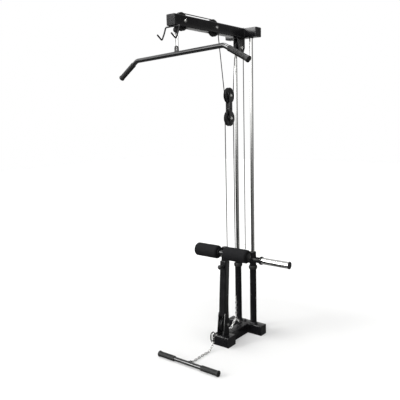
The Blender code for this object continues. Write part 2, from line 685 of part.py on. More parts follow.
def make_pulldown_bar(mats):
    ball = bmesh.new()
    bmesh.ops.create_uvsphere(ball, u_segments=SMALL_ROUND, v_segments=10, radius=STOPPER_RADIUS)
    add("stopper", ball, mats["rubber"], (0, LAT_CABLE_Y, STOPPER_Z))
    low = STOPPER_Z - STOPPER_RADIUS

    link = swept(stadium(CARABINER_WIDTH, CARABINER_LENGTH), CARABINER_WIRE, closed=True)
    centre = low - FIT_GAP - CARABINER_LENGTH / 2 - CARABINER_WIRE
    add("lat_carabiner", link, mats["zinc"], (0, LAT_CABLE_Y, centre))

    # The bar is made level and square, then turned and tipped as it hangs.
    hang = (Matrix.Rotation(BAR_YAW, 3, "Z") @ Matrix.Rotation(-BAR_TIP, 3, "Y")).to_euler()
    at = (0, LAT_CABLE_Y, BAR_Z)
    half = [(BAR_BEND_X, 0, 0), (BAR_END_X, 0, -BAR_DROP)]
    path = rounded_path([(-x, y, z) for x, y, z in reversed(half)] + half, 0.060, 5)
    bar = add("pulldown_bar", swept(path, BAR_RADIUS, 14, BAR_RADIUS - BAR_WALL), mats["paint"],
              at, hang)
    tab_half, tab_top, thickness, hole_z = 0.016, 0.047, 0.004, 0.029
    outline = [(tab_half, BAR_RADIUS - 0.005)]
    for step in range(9):
        angle = math.pi * step / 8
        rise = tab_top - tab_half + tab_half * math.sin(angle)
        outline.append((tab_half * math.cos(angle), rise))
    outline.append((-tab_half, BAR_RADIUS - 0.005))
    tab = bmesh.new()
    skin(tab, [[(x, y, z) for x, z in outline] for y in (-thickness, thickness)])
    boolean(bar, tab, "UNION", mats["paint"])
    hole = cylinder(0.0075, -0.02, 0.02, ALONG_Y, 16)
    bmesh.ops.translate(hole, vec=(0, 0, hole_z), verts=hole.verts)
    boolean(bar, hole, "DIFFERENCE", mats["paint"])

    slope = Vector((BAR_END_X - BAR_BEND_X, 0, -BAR_DROP)).normalized()
    for side, sign in (("left", -1), ("right", 1)):
        along = Vector((sign * slope.x, 0, slope.z))
        end = Vector((sign * BAR_END_X, 0, -BAR_DROP))
        bore, rim, cap = BAR_RADIUS + FIT_GAP, GRIP_RADIUS + 0.002, 0.008
        start = -GRIP_LENGTH
        profile = [(0, FIT_GAP), (bore, FIT_GAP), (bore, start), (GRIP_RADIUS - 0.002, start),
                   (GRIP_RADIUS, start + 0.004), (GRIP_RADIUS, -0.004), (rim, 0.0),
                   (rim, cap - 0.003), (rim - 0.003, cap), (0, cap)]
        aim = along.to_track_quat("Z", "Y").to_matrix().to_4x4()
        grip = turned(profile, Matrix.Translation(end) @ aim, SMALL_ROUND)
        add(f"bar_grip_{side}", grip, mats["rubber"], at, hang)


# ---------------------------------------------------------------- carriage

def make_carriage(mats):
    """Crossbar between two sleeves on the rods, with stubs and collars for the pegs."""
    paint = mats["paint"]
    half = (ROD_SPACING / 2, CARRIAGE_BAR_DEPTH / 2, CARRIAGE_BAR_HEIGHT / 2)
    root = -0.006
    bm = box([-h for h in half], half)
    frame = add("carriage_frame", bm, paint, (0, 0, PEG_Z))
    low, high = SLEEVE_BOTTOM - PEG_Z, SLEEVE_TOP - PEG_Z
    boolean(frame, both_sides(cylinder(SLEEVE_RADIUS, low, high), half[0]), "UNION", paint)
    neck = PEG_START - COLLAR_THICKNESS - 0.014
    profile = [(0, root), (STUB_RADIUS, root), (STUB_RADIUS, neck - half[0]),
               (COLLAR_RADIUS, PEG_START - COLLAR_THICKNESS - half[0]),
               (COLLAR_RADIUS, PEG_START - half[0]), (0, PEG_START - half[0])]
    boolean(frame, both_sides(turned(profile, ALONG_X), half[0]), "UNION", paint)
    eye = cylinder(0.008, half[2] - 0.005, high + LIFT_EYE_HEIGHT, segments=12)
    boolean(frame, eye, "UNION", paint)
    bore = cylinder(ROD_RADIUS + SLIDE_GAP, low - 0.01, high + 0.01)
    boolean(frame, both_sides(bore, half[0]), "DIFFERENCE", paint)

    for side, sign in (("left", -1), ("right", 1)):
        mirror = Matrix.Scale(sign, 4, (1, 0, 0)) @ ALONG_X
        end = PEG_END - END_CAP_THICKNESS
        peg = pipe(PEG_RADIUS, PEG_RADIUS - PEG_WALL, PEG_START + FIT_GAP, end, mirror)
        add(f"plate_peg_{side}", peg, mats["chrome"], (0, 0, PEG_Z))
        plug, rim = PEG_RADIUS - PEG_WALL - FIT_GAP, PEG_RADIUS + 0.0022
        profile = [(0, end - 0.012), (plug, end - 0.012), (plug, end + FIT_GAP), (rim, end + FIT_GAP),
                   (rim, PEG_END - 0.0015), (rim - 0.0015, PEG_END), (0, PEG_END)]
        add(f"peg_cap_{side}", turned(profile, mirror), mats["plastic"], (0, 0, PEG_Z))


# ---------------------------------------------------------------- knee rollers

def leaning(height):
    """Point on the upright's axis at a world height."""
    return Vector((0, UPRIGHT_Y + math.tan(UPRIGHT_LEAN) * (height - PIN_Z), height))


def make_upright(mats):
    """Leaning outer tube with the pull pin's housing on its front face."""
    lean = (-UPRIGHT_LEAN, 0, 0)
    at = leaning(PIN_Z)
    scale = 1 / math.cos(UPRIGHT_LEAN)
    bottom, top = (UPRIGHT_BOTTOM_Z - PIN_Z) * scale, (UPRIGHT_TOP_Z - PIN_Z) * scale
    bm = square_tube(UPRIGHT_SIZE, UPRIGHT_SIZE, bottom, top, UPRIGHT_WALL, Matrix())
    upright = add("front_upright", bm, mats["paint"], at, lean)
    hole = cylinder(PIN_RADIUS + FIT_GAP, -0.04, -0.01, ALONG_Y, 12)
    boolean(upright, hole, "DIFFERENCE", mats["paint"])

    face = UPRIGHT_SIZE / 2
    bore = PIN_RADIUS + FIT_GAP
    profile = [(bore, face + FIT_GAP), (0.0125, face + FIT_GAP), (0.0125, face + 0.010),
               (0.010, face + 0.014), (bore, face + 0.014)]
    toward_user = Matrix.Rotation(math.pi / 2, 4, "X")
    add("pin_housing", turned(profile, toward_user, 16), mats["plastic"], at, lean)

    tip, neck, knob_start, knob_end = face - UPRIGHT_WALL, face + 0.018, face + 0.024, face + 0.046
    profile = [(0, tip), (PIN_RADIUS, tip), (PIN_RADIUS, neck), (0.008, neck + 0.001),
               (0.010, knob_start), (KNOB_RADIUS, knob_start + 0.005),
               (KNOB_RADIUS, knob_end - 0.007), (0.012, knob_end - 0.001), (0, knob_end)]
    add("pull_pin", turned(profile, toward_user, 20), mats["plastic"], at, lean)


def make_knee_rollers(mats):
    lean = (-UPRIGHT_LEAN, 0, 0)
    at = leaning(ROLLER_Z)
    bm = square_tube(INNER_POST_SIZE, INNER_POST_SIZE, -INNER_POST_DROP, INNER_POST_RISE,
                     TUBE_WALL, Matrix())
    post = add("roller_post", bm, mats["paint"], at, lean)
    pin_level = (PIN_Z - ROLLER_Z) / math.cos(UPRIGHT_LEAN)
    for k in range(-1, 3):
        hole = cylinder(PIN_RADIUS + 0.0005, -0.04, -0.01, ALONG_Y, 12)
        bmesh.ops.translate(hole, vec=(0, 0, pin_level + k * PIN_HOLE_PITCH), verts=hole.verts)
        boolean(post, hole, "DIFFERENCE", mats["paint"])

    offset = INNER_POST_SIZE / 2 + ROLLER_AXLE_RADIUS + FIT_GAP
    axle_at = at + Vector((0, -offset * math.cos(UPRIGHT_LEAN), offset * math.sin(UPRIGHT_LEAN)))
    r, stop = ROLLER_AXLE_RADIUS, 0.025
    inner = ROLLER_START - SLIDE_GAP
    end = ROLLER_START + ROLLER_LENGTH + SLIDE_GAP
    half = [(r, INNER_POST_SIZE / 2 + 0.0005), (stop, INNER_POST_SIZE / 2 + 0.0015), (stop, inner),
            (r, inner), (r, end), (stop, end), (stop, end + 0.005), (0, end + 0.006)]
    profile = [(p, -h) for p, h in reversed(half)] + half
    add("roller_axle", turned(profile, ALONG_X, SMALL_ROUND), mats["paint"], axle_at)

    soft = 0.012
    for side, sign in (("left", -1), ("right", 1)):
        bore, start, finish_x = r + SLIDE_GAP, ROLLER_START, ROLLER_START + ROLLER_LENGTH
        profile = [(bore, start)]
        for centre, first in ((start + soft, -math.pi / 2), (finish_x - soft, 0.0)):
            for step in range(4):
                angle = first + math.pi / 2 * step / 3
                profile.append((ROLLER_RADIUS - soft + soft * math.cos(angle),
                                centre + soft * math.sin(angle)))
        profile.append((bore, finish_x))
        mirror = Matrix.Scale(sign, 4, (1, 0, 0)) @ ALONG_X
        add(f"foam_roller_{side}", turned(profile, mirror), mats["foam"], axle_at)


# ---------------------------------------------------------------- low row

def make_row_handle(mats):
    eye = swept(stadium(ROW_EYE_WIDTH, ROW_EYE_LENGTH), ROW_EYE_WIRE, closed=True)
    eye_y = ROW_EYE_Y - ROW_EYE_WIDTH / 2 - ROW_EYE_WIRE
    add("row_cable_eye", eye, mats["cable"], (0, eye_y, ROW_EYE_Z))

    link = swept(stadium(ROW_LINK_WIDTH, ROW_LINK_LENGTH), CARABINER_WIRE, closed=True)
    bmesh.ops.rotate(link, matrix=Matrix.Rotation(math.pi / 2, 3, "Z"), verts=link.verts)
    link_top = ROW_EYE_Z + ROW_EYE_LENGTH / 2 - ROW_EYE_WIRE - CARABINER_WIRE - 2 * FIT_GAP
    link_z = link_top - ROW_LINK_LENGTH / 2
    add("row_carabiner", link, mats["zinc"], (0, eye_y, link_z))

    chain_start = link_z - ROW_LINK_LENGTH / 2 - CARABINER_WIRE - 2 * FIT_GAP
    floor = CHAIN_WIDTH / 2 + FIT_GAP
    handle_z = HANDLE_FLANGE_RADIUS + FIT_GAP
    tab_end = HANDLE_Y + 0.040
    path = [(0, eye_y, chain_start), (-0.004, eye_y - 0.014, floor), (-0.008, -0.560, floor),
            (-0.006, -0.630, floor), (0, tab_end + 0.004, floor + 0.002)]
    add("row_chain", chain(path, CHAIN_PITCH, CHAIN_WIRE, CHAIN_WIDTH), mats["zinc"])

    at = (0, HANDLE_Y, handle_z)
    bm = pipe(HANDLE_RADIUS, HANDLE_RADIUS - 0.0025, -HANDLE_HALF + 0.004, HANDLE_HALF - 0.004, ALONG_X)
    handle = add("row_handle", bm, mats["paint"], at)
    tab = box((-0.014, HANDLE_RADIUS - 0.002, -0.004), (0.014, 0.038, 0.004))
    boolean(handle, tab, "UNION", mats["paint"])
    hole = cylinder(0.006, -0.02, 0.02, segments=12)
    bmesh.ops.translate(hole, vec=(0, 0.027, 0), verts=hole.verts)
    boolean(handle, hole, "DIFFERENCE", mats["paint"])

    for side, sign in (("left", -1), ("right", 1)):
        start, end = HANDLE_HALF - HANDLE_GRIP_LENGTH, HANDLE_HALF
        bore, grip, flange = HANDLE_RADIUS + FIT_GAP, HANDLE_GRIP_RADIUS, HANDLE_FLANGE_RADIUS
        inside = end - 0.004 + FIT_GAP
        profile = [(0, inside), (bore, inside), (bore, start), (grip - 0.001, start),
                   (grip, start + 0.001), (grip, end - 0.010),
                   (flange, end - 0.007), (flange, end - 0.002), (flange - 0.002, end), (0, end)]
        mirror = Matrix.Scale(sign, 4, (1, 0, 0)) @ ALONG_X
        add(f"handle_grip_{side}", turned(profile, mirror, SMALL_ROUND), mats["rubber"], at)


def main():
    for obj in list(bpy.data.objects):
        bpy.data.objects.remove(obj, do_unlink=True)
    mats = make_finishes()
    make_base(mats)
    make_guides(mats)
    make_low_bracket(mats)
    make_top_frame(mats)
    make_hanger(mats)
    make_bar_hooks(mats)
    make_pulleys(mats)
    make_float_block(mats)
    make_cables(mats)
    make_anchor_chain(mats)
    make_pulldown_bar(mats)
    make_carriage(mats)
    make_upright(mats)
    make_knee_rollers(mats)
    make_row_handle(mats)


main()
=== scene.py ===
"""Looks for a plate-loaded pulldown tower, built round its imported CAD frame.

Metres, +Z up, in the frame's own axes: the user sits on the -Y side and the pulleys turn in the
plane X = 0. Places are read from the CAD nodes' boxes.
"""

import math

import bmesh
import bpy
from mathutils import Matrix, Vector, noise


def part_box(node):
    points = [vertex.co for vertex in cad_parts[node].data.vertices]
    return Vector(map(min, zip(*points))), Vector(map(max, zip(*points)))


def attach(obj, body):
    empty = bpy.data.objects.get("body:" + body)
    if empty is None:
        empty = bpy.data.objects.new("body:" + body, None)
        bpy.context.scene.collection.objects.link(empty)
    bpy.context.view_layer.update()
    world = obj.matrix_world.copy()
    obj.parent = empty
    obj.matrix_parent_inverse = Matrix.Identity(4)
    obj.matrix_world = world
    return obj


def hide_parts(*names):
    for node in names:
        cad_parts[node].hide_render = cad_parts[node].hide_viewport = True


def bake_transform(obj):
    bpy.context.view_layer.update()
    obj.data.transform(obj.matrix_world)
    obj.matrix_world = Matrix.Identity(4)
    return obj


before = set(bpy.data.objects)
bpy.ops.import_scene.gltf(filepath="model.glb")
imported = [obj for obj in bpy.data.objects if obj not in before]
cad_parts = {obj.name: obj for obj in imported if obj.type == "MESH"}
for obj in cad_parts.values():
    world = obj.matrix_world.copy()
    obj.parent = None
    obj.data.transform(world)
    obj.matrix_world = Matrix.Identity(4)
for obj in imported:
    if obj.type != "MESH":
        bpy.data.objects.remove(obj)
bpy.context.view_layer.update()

WALL = 0.003
TUBE_CORNER = 0.005
BOLT_HOLE = 0.0053
FOOT_CAP_DEPTH = 0.0025
ANCHOR_Y = -0.080
CABLE_RADIUS = 0.0030
CABLE_INSET = 0.004
UPRIGHT_LEAN = math.radians(3.9)
BAR_YAW = math.radians(-6.0)
BAR_TIP = math.radians(1.2)
BAR_HEIGHT = 1.997

CIRCLE = 2 * math.pi
QUARTER = math.pi / 2
ALONG_X = Matrix.Rotation(QUARTER, 4, "Y")
ALONG_Y = Matrix.Rotation(-QUARTER, 4, "X")
TOWARD_USER = Matrix.Rotation(QUARTER, 4, "X")
MIRROR = Matrix.Scale(-1, 4, (1, 0, 0))
SIDES = (("left", -1), ("right", 1))


def low(node):
    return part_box(node)[0]


def high(node):
    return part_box(node)[1]


def middle(node):
    return (low(node) + high(node)) / 2


def extent(node):
    return high(node) - low(node)


# ---------------------------------------------------------------- materials

CELLS = "cells"
NOISE_SPAN = (0.3, 0.7)


def add_node(tree, kind, inputs=(), **values):
    """Add a shader node. Each of its inputs gets a number or another node's output."""
    made = tree.nodes.new(kind)
    for key, value in values.items():
        setattr(made, key, value)
    for key, value in dict(inputs).items():
        if isinstance(value, bpy.types.NodeSocket):
            tree.links.new(value, made.inputs[key])
        else:
            made.inputs[key].default_value = value
    return made


def surface(name, colour, roughness, metallic=0.0, tones=None, gloss=None, relief=None, sockets=()):
    """A Principled material whose colour, roughness and relief follow patterns over its surface.

    tones is (pattern, dark, light), gloss is (pattern, smooth, rough) and relief is (pattern,
    strength, depth). A pattern is a noise's (scale, detail, stretch), where a stretch below 1 draws
    it out along that axis, or (scale, CELLS) for round cells.
    """
    mat = bpy.data.materials.new(name)
    mat.use_nodes = True
    tree = mat.node_tree
    shader = tree.nodes["Principled BSDF"]
    plain = {"Base Color": (*colour, 1.0), "Roughness": roughness, "Metallic": metallic}
    for socket, value in {**plain, **dict(sockets)}.items():
        shader.inputs[socket].default_value = value
    place = add_node(tree, "ShaderNodeTexCoord").outputs["Object"]

    def spread(scale, detail=3.0, stretch=(1, 1, 1)):
        if detail == CELLS:
            cells = add_node(tree, "ShaderNodeTexVoronoi", {"Vector": place, "Scale": scale})
            return cells.outputs["Distance"]
        stretched = add_node(tree, "ShaderNodeMapping", {"Vector": place, "Scale": stretch})
        inputs = {"Vector": stretched.outputs["Vector"], "Scale": scale, "Detail": detail}
        return add_node(tree, "ShaderNodeTexNoise", inputs).outputs["Fac"]

    if tones:
        pattern, dark, light = tones
        ramp = add_node(tree, "ShaderNodeValToRGB", {"Fac": spread(*pattern)})
        for stop, position, tone in zip(ramp.color_ramp.elements, NOISE_SPAN, (dark, light)):
            stop.position = position
            stop.color = (*tone, 1.0)
        tree.links.new(ramp.outputs["Color"], shader.inputs["Base Color"])
    if gloss:
        pattern, smooth, rough = gloss
        inputs = {"Value": spread(*pattern), "From Min": NOISE_SPAN[0], "From Max": NOISE_SPAN[1],
                  "To Min": smooth, "To Max": rough}
        ranged = add_node(tree, "ShaderNodeMapRange", inputs)
        tree.links.new(ranged.outputs["Result"], shader.inputs["Roughness"])
    if relief:
        pattern, strength, depth = relief
        inputs = {"Height": spread(*pattern), "Strength": strength, "Distance": depth}
        bump = add_node(tree, "ShaderNodeBump", inputs)
        tree.links.new(bump.outputs["Normal"], shader.inputs["Normal"])
    return mat


def moulded(name, colour, roughness, specular):
    """Moulded plastic with a faint grain."""
    light = [c * 1.35 for c in colour]
    return surface(name, colour, roughness, tones=((40.0,), colour, light),
                   gloss=((90.0,), roughness * 0.85, roughness * 1.15),
                   relief=((1600.0, 2.0), 0.12, 0.0002), sockets={"Specular IOR Level": specular})


MATS = {
    # Semi-gloss powder coat with a fine orange peel
    "paint": surface("black_powder_coat", (0.006, 0.006, 0.007), 0.24,
                     tones=((6.0,), (0.0045, 0.0045, 0.0055), (0.0075, 0.0075, 0.0085)),
                     gloss=((14.0,), 0.20, 0.28), relief=((900.0, 2.0), 0.10, 0.0003)),
    # The handled bars' paint: the same black under a clear coat, so its highlights are sharp
    "bar_paint": surface("gloss_bar_coat", (0.005, 0.005, 0.006), 0.22,
                         gloss=((14.0,), 0.18, 0.28), relief=((700.0, 2.0), 0.05, 0.0002),
                         sockets={"Coat Weight": 0.5, "Coat Roughness": 0.10}),
    # Polished plate, its gloss drawn out along Z by the grinding under it
    "chrome": surface("chrome_plate", (0.82, 0.82, 0.81), 0.10, 1.0,
                      gloss=((60.0, 2.0, (1, 1, 0.05)), 0.07, 0.15)),
    # Plate over a turned tube, with the faint waves that the turning leaves along it
    "peg_chrome": surface("peg_chrome", (0.82, 0.82, 0.81), 0.09, 1.0,
                          gloss=((30.0, 2.0, (0.1, 1, 1)), 0.05, 0.11),
                          relief=((90.0, 1.0, (0.1, 1, 1)), 0.22, 0.0016)),
    "zinc": surface("zinc_plate", (0.72, 0.72, 0.70), 0.2, 1.0,
                    tones=((120.0,), (0.64, 0.64, 0.63), (0.80, 0.80, 0.78)),
                    gloss=((300.0,), 0.14, 0.28), relief=((1500.0, 2.0), 0.08, 0.0002)),
    # Bright zinc on drawn wire, as on chain: it scatters more light than a flat plate does
    "bright_zinc": surface("bright_zinc", (0.85, 0.85, 0.84), 0.3, 0.7,
                           tones=((90.0,), (0.70, 0.70, 0.69), (0.90, 0.90, 0.89)),
                           gloss=((200.0,), 0.22, 0.40), relief=((900.0, 2.0), 0.08, 0.0002)),
    "plastic": moulded("black_nylon", (0.008, 0.008, 0.009), 0.42, 0.5),
    "cap": moulded("grey_cap_plastic", (0.032, 0.032, 0.033), 0.50, 0.12),
    "rubber": surface("black_rubber", (0.012, 0.012, 0.012), 0.62,
                      tones=((70.0,), (0.010, 0.010, 0.010), (0.018, 0.018, 0.018)),
                      gloss=((180.0,), 0.52, 0.70), relief=((700.0, 4.0), 0.25, 0.0004)),
    # Closed-cell foam with a pebbled skin
    "foam": surface("black_foam", (0.008, 0.008, 0.009), 0.85,
                    tones=((240.0, 4.0), (0.003, 0.003, 0.004), (0.012, 0.012, 0.013)),
                    relief=((320.0, CELLS), 0.7, 0.0012), sockets={"Specular IOR Level": 0.18}),
    # Wire rope in a thin black coat, with its lay just showing
    "cable": surface("coated_cable", (0.006, 0.006, 0.006), 0.32, gloss=((200.0,), 0.26, 0.40),
                     relief=((500.0, 3.0, (1, 1, 0.3)), 0.2, 0.0003),
                     sockets={"Specular IOR Level": 0.3}),
}


# ---------------------------------------------------------------- flat outlines

def arc(centre, size, start, end, steps):
    """Points along an arc from one angle to another. Size is its radius, or one for each axis."""
    across, up = size if isinstance(size, tuple) else (size, size)
    angles = [start + (end - start) * step / steps for step in range(steps + 1)]
    return [(centre[0] + across * math.cos(a), centre[1] + up * math.sin(a)) for a in angles]


def circle(radius, count):
    return arc((0, 0), radius, 0.0, CIRCLE, count)[:-1]


def oval(first, second, radius, steps):
    """Outline round two points: half a circle about each, and straight sides between."""
    return arc(first, radius, 0.0, math.pi, steps) + arc(second, radius, math.pi, CIRCLE, steps)


def rectangle(width, height, corner, steps=5):
    """Points of a rounded rectangle about the origin, counter-clockwise."""
    points = []
    for quarter, (sx, sy) in enumerate(((1, 1), (-1, 1), (-1, -1), (1, -1))):
        centre = (sx * (width / 2 - corner), sy * (height / 2 - corner))
        points += arc(centre, corner, QUARTER * quarter, QUARTER * (quarter + 1), steps - 1)
    return points


def both_sides(near, far):
    """The two spans between these distances from zero."""
    return (-far, -near), (near, far)


# ---------------------------------------------------------------- mesh helpers

def piece(name, bm, mat, body, replaces=(), bevel=0.0, cuts=(), at=None, sharp=35):
    """Make a mesh a finished piece that rides on a body. Cuts are meshes taken out of it."""
    obj = bare(name, bm, at)
    obj.data.materials.append(MATS[mat])
    for cut in cuts:
        tool = bare(f"{name}_cut", cut, at)
        mod = obj.modifiers.new("Cut", "BOOLEAN")
        mod.operation = "DIFFERENCE"
        mod.solver = "EXACT"
        mod.object = tool
        graph = bpy.context.evaluated_depsgraph_get()
        mesh = bpy.data.meshes.new_from_object(obj.evaluated_get(graph))
        obj.modifiers.clear()
        obj.data = mesh
        bpy.data.objects.remove(tool)
    smooth(obj, sharp)
    if bevel:
        mod = obj.modifiers.new("Bevel", "BEVEL")
        mod.width = bevel
        mod.segments = 3
        mod.limit_method = "ANGLE"
        mod.angle_limit = math.radians(sharp)
        mod.harden_normals = True
    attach(obj, body)
    if replaces:
        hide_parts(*replaces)
    return obj


def smooth(obj, sharp):
    obj.data.shade_smooth()
    obj.data.set_sharp_from_angle(angle=math.radians(sharp))


def bare(name, bm, at=None):
    bmesh.ops.remove_doubles(bm, verts=bm.verts, dist=1e-6)
    bmesh.ops.recalc_face_normals(bm, faces=bm.faces)
    mesh = bpy.data.meshes.new(name)
    bm.to_mesh(mesh)
    bm.free()
    if at is not None:
        mesh.transform(at)
    obj = bpy.data.objects.new(name, mesh)
    bpy.context.scene.collection.objects.link(obj)
    return obj


def moved(vector):
    return Matrix.Translation(Vector(vector))


def skin(rings, closed=False, bm=None):
    """Quads between rings of equal length. An open skin gets a face on each end."""
    bm = bm or bmesh.new()
    loops = [[bm.verts.new(point) for point in ring] for ring in rings]
    pairs = list(zip(loops, loops[1:]))
    if closed:
        pairs.append((loops[-1], loops[0]))
    for first, second in pairs:
        for i in range(len(first)):
            j = (i + 1) % len(first)
            bm.faces.new((first[i], first[j], second[j], second[i]))
    if not closed:
        bm.faces.new(loops[0])
        bm.faces.new(loops[-1])
    return bm


def stacked(layers, turn=Matrix(), closed=False):
    """A skin over rounded rectangles, each given as (width, height, corner, place along Z)."""
    rings = [[turn @ Vector((*p, z)) for p in rectangle(width, height, corner)]
             for width, height, corner, z in layers]
    return skin(rings, closed)


def tube(width, height, start, end, turn=Matrix(), wall=WALL):
    """Square tube with rounded corners along its own Z, its ends eased, then turned."""
    ease = 0.0007
    outer = (width, height, TUBE_CORNER)
    eased = (width - 2 * ease, height - 2 * ease, TUBE_CORNER - ease)
    inner = (width - 2 * wall, height - 2 * wall, TUBE_CORNER - wall * 0.8)
    return stacked([(*eased, start), (*outer, start + ease), (*outer, end - ease), (*eased, end),
                    (*inner, end), (*inner, start)], turn, closed=True)


def lathe(profile, turn=Matrix(), segments=48, closed=False, bm=None):
    """Turn (radius, height) points about Z. A point at radius 0 lies on the axis."""
    bm = bm or bmesh.new()
    rings = []
    for radius, height in profile:
        points = circle(radius, segments) if radius > 0 else [(0, 0)]
        rings.append([bm.verts.new(turn @ Vector((*p, height))) for p in points])
    pairs = list(zip(rings, rings[1:]))
    if closed:
        pairs.append((rings[-1], rings[0]))
    for first, second in pairs:
        for i in range(segments):
            j = (i + 1) % segments
            corners = [first[i % len(first)], first[j % len(first)],
                       second[j % len(second)], second[i % len(second)]]
            corners = list(dict.fromkeys(corners))
            if len(corners) > 2:
                bm.faces.new(corners)
    return bm


def rod(radius, start, end, turn=Matrix(), segments=32, bm=None):
    return lathe([(0, start), (radius, start), (radius, end), (0, end)], turn, segments, bm=bm)


def ring(radius, bore, start, end, turn=Matrix(), segments=48, bm=None):
    profile = [(radius, start), (radius, end), (bore, end), (bore, start)]
    return lathe(profile, turn, segments, closed=True, bm=bm)


# Where a flat point goes at a height, by the axis that the height runs along
RAISED = {
    "X": lambda p, h: Vector((h, p[0], p[1])),
    "Y": lambda p, h: Vector((p[0], h, p[1])),
    "Z": lambda p, h: Vector((p[0], p[1], h)),
}


def prism(outline, start, end, axis="X", bm=None, turn=Matrix()):
    """A flat outline pushed along an axis. Its points are the other two axes, in order."""
    return skin([[turn @ RAISED[axis](p, h) for p in outline] for h in (start, end)], bm=bm)


def block(corner, opposite):
    a, b = Vector(corner), Vector(opposite)
    return prism([(a.x, a.y), (b.x, a.y), (b.x, b.y), (a.x, b.y)], a.z, b.z, "Z")


def rounded(points, radius, steps=8):
    """The corner points of a path, each inner corner replaced by an arc."""
    points = [Vector(p) for p in points]
    path = [points[0]]
    for before, corner, after in zip(points, points[1:], points[2:]):
        back = (before - corner).normalized()
        on = (after - corner).normalized()
        half = back.angle(on) / 2
        reach = radius / math.tan(half)
        start, end = corner + back * reach, corner + on * reach
        centre = corner + (back + on).normalized() * radius / math.sin(half)
        for step in range(steps + 1):
            ray = (start - centre).lerp(end - centre, step / steps)
            path.append(centre + ray.normalized() * radius)
    path.append(points[-1])
    return path


def frames(path, closed):
    """A plane at each point of a path, carried along without twist."""
    found = []
    count = len(path)
    side = None
    for i, point in enumerate(path):
        before = path[(i - 1) % count] if closed or i else point
        after = path[(i + 1) % count] if closed or i < count - 1 else point
        along = (after - before).normalized()
        side = side or along.orthogonal().normalized()
        side = (side - along * side.dot(along)).normalized()
        found.append((point, side, along.cross(side)))
    return found


def swept(path, radius, sides=16, closed=False, bm=None):
    """A round rod along a path. Radius is one number, or a function of the point's index."""
    path = [Vector(p) for p in path]
    rings = []
    for i, (point, side, other) in enumerate(frames(path, closed)):
        size = radius(i) if callable(radius) else radius
        rings.append([point + size * (x * side + y * other) for x, y in circle(1.0, sides)])
    return skin(rings, closed, bm)


def stadium(width, length, steps=10):
    """Centre line of an oval link in the YZ plane, its length along Z."""
    reach = (length - width) / 2
    return [RAISED["X"](p, 0.0) for p in oval((0, reach), (0, -reach), width / 2, steps)]


def even(path, spacing):
    """Points at even spacing along a path, from its start to its end."""
    path = [Vector(p) for p in path]
    lengths = [0.0]
    for first, second in zip(path, path[1:]):
        lengths.append(lengths[-1] + (second - first).length)
    count = max(1, round(lengths[-1] / spacing))
    points = []
    for i in range(count + 1):
        along = lengths[-1] * i / count
        k = max(j for j in range(len(path) - 1) if lengths[j] <= along + 1e-9)
        share = (along - lengths[k]) / (lengths[k + 1] - lengths[k])
        points.append(path[k].lerp(path[k + 1], share))
    return points


def weld(name, path, body, radius=0.0028, closed=False):
    """A weld bead: a soft bead along a joint, with the ripple of its runs."""
    path = [Vector(p) for p in path]
    if closed:
        path.append(path[0])
    points = even(path, 0.0016)
    if closed:
        points.pop()

    def ripple(i):
        return radius * (1 + 0.14 * math.sin(i * 1.9) + 0.08 * math.sin(i * 0.61))

    return piece(name, swept(points, ripple, 8, closed), "paint", body, sharp=80)


def weld_box(name, centre, width, height, body):
    """A weld bead round a rectangle that faces along Y."""
    corners = rectangle(width, height, TUBE_CORNER, 4)
    path = [Vector(centre) + RAISED["Y"](p, 0.0) for p in corners]
    return weld(name, path, body, closed=True)


def weld_round(name, centre, radius, body):
    path = [Vector(centre) + RAISED["Z"](p, 0.0) for p in circle(radius, 48)]
    return weld(name, path, body, closed=True)


def hexagon(radius, start, end, turn=Matrix(), bm=None):
    """A hexagonal head or nut, chamfered at both ends, its corners at the radius."""
    chamfer = radius * 0.12
    layers = ((radius - chamfer, start), (radius, start + chamfer), (radius, end - chamfer),
              (radius - chamfer, end))
    return skin([[turn @ Vector((*p, h)) for p in circle(r, 6)] for r, h in layers], bm=bm)


def bolt(name, at, half, body, replaces):
    """A through bolt along X: head and washer on one side, washer, nut and tail on the other."""
    radius, washer, tail = 0.005, 0.0011, 0.0030
    head, nut, wide = radius * 1.35, radius * 1.2, radius * 1.72
    aim = moved(at) @ ALONG_X
    bm = rod(radius * 0.96, -half - nut - tail, half, aim)
    for start, end in both_sides(half, half + washer):
        ring(wide * 1.18, radius * 0.97, start, end, aim, bm=bm)
    hexagon(wide, half + washer, half + washer + head, aim, bm)
    hexagon(wide, -half - washer - nut, -half - washer, aim, bm)
    return piece(name, bm, "zinc", body, replaces, sharp=30)


# ---------------------------------------------------------------- base

def make_foot(node):
    """A foot's tube, and in each end a flat plastic cap with a raised rim."""
    size, at = extent(node), middle(node)
    reach = size.x / 2 - FOOT_CAP_DEPTH
    bm = tube(size.z, size.y, -reach, reach, moved(at) @ ALONG_X)
    piece(f"{node}_tube", bm, "paint", "frame", [node])
    rim_width, rim_height = 0.005, 0.0009
    outer = (size.z, size.y, TUBE_CORNER)
    inner = (size.z - 2 * rim_width, size.y - 2 * rim_width, TUBE_CORNER / 2)
    layers = [(*outer, 0), (*outer, FOOT_CAP_DEPTH), (*inner, FOOT_CAP_DEPTH),
              (*inner, FOOT_CAP_DEPTH - rim_height)]
    for side, sign in SIDES:
        turn = moved((sign * reach, at.y, at.z)) @ Matrix.Rotation(sign * QUARTER, 4, "Y")
        piece(f"{node}_cap_{side}", stacked(layers, turn), "plastic", "frame", bevel=0.0006)


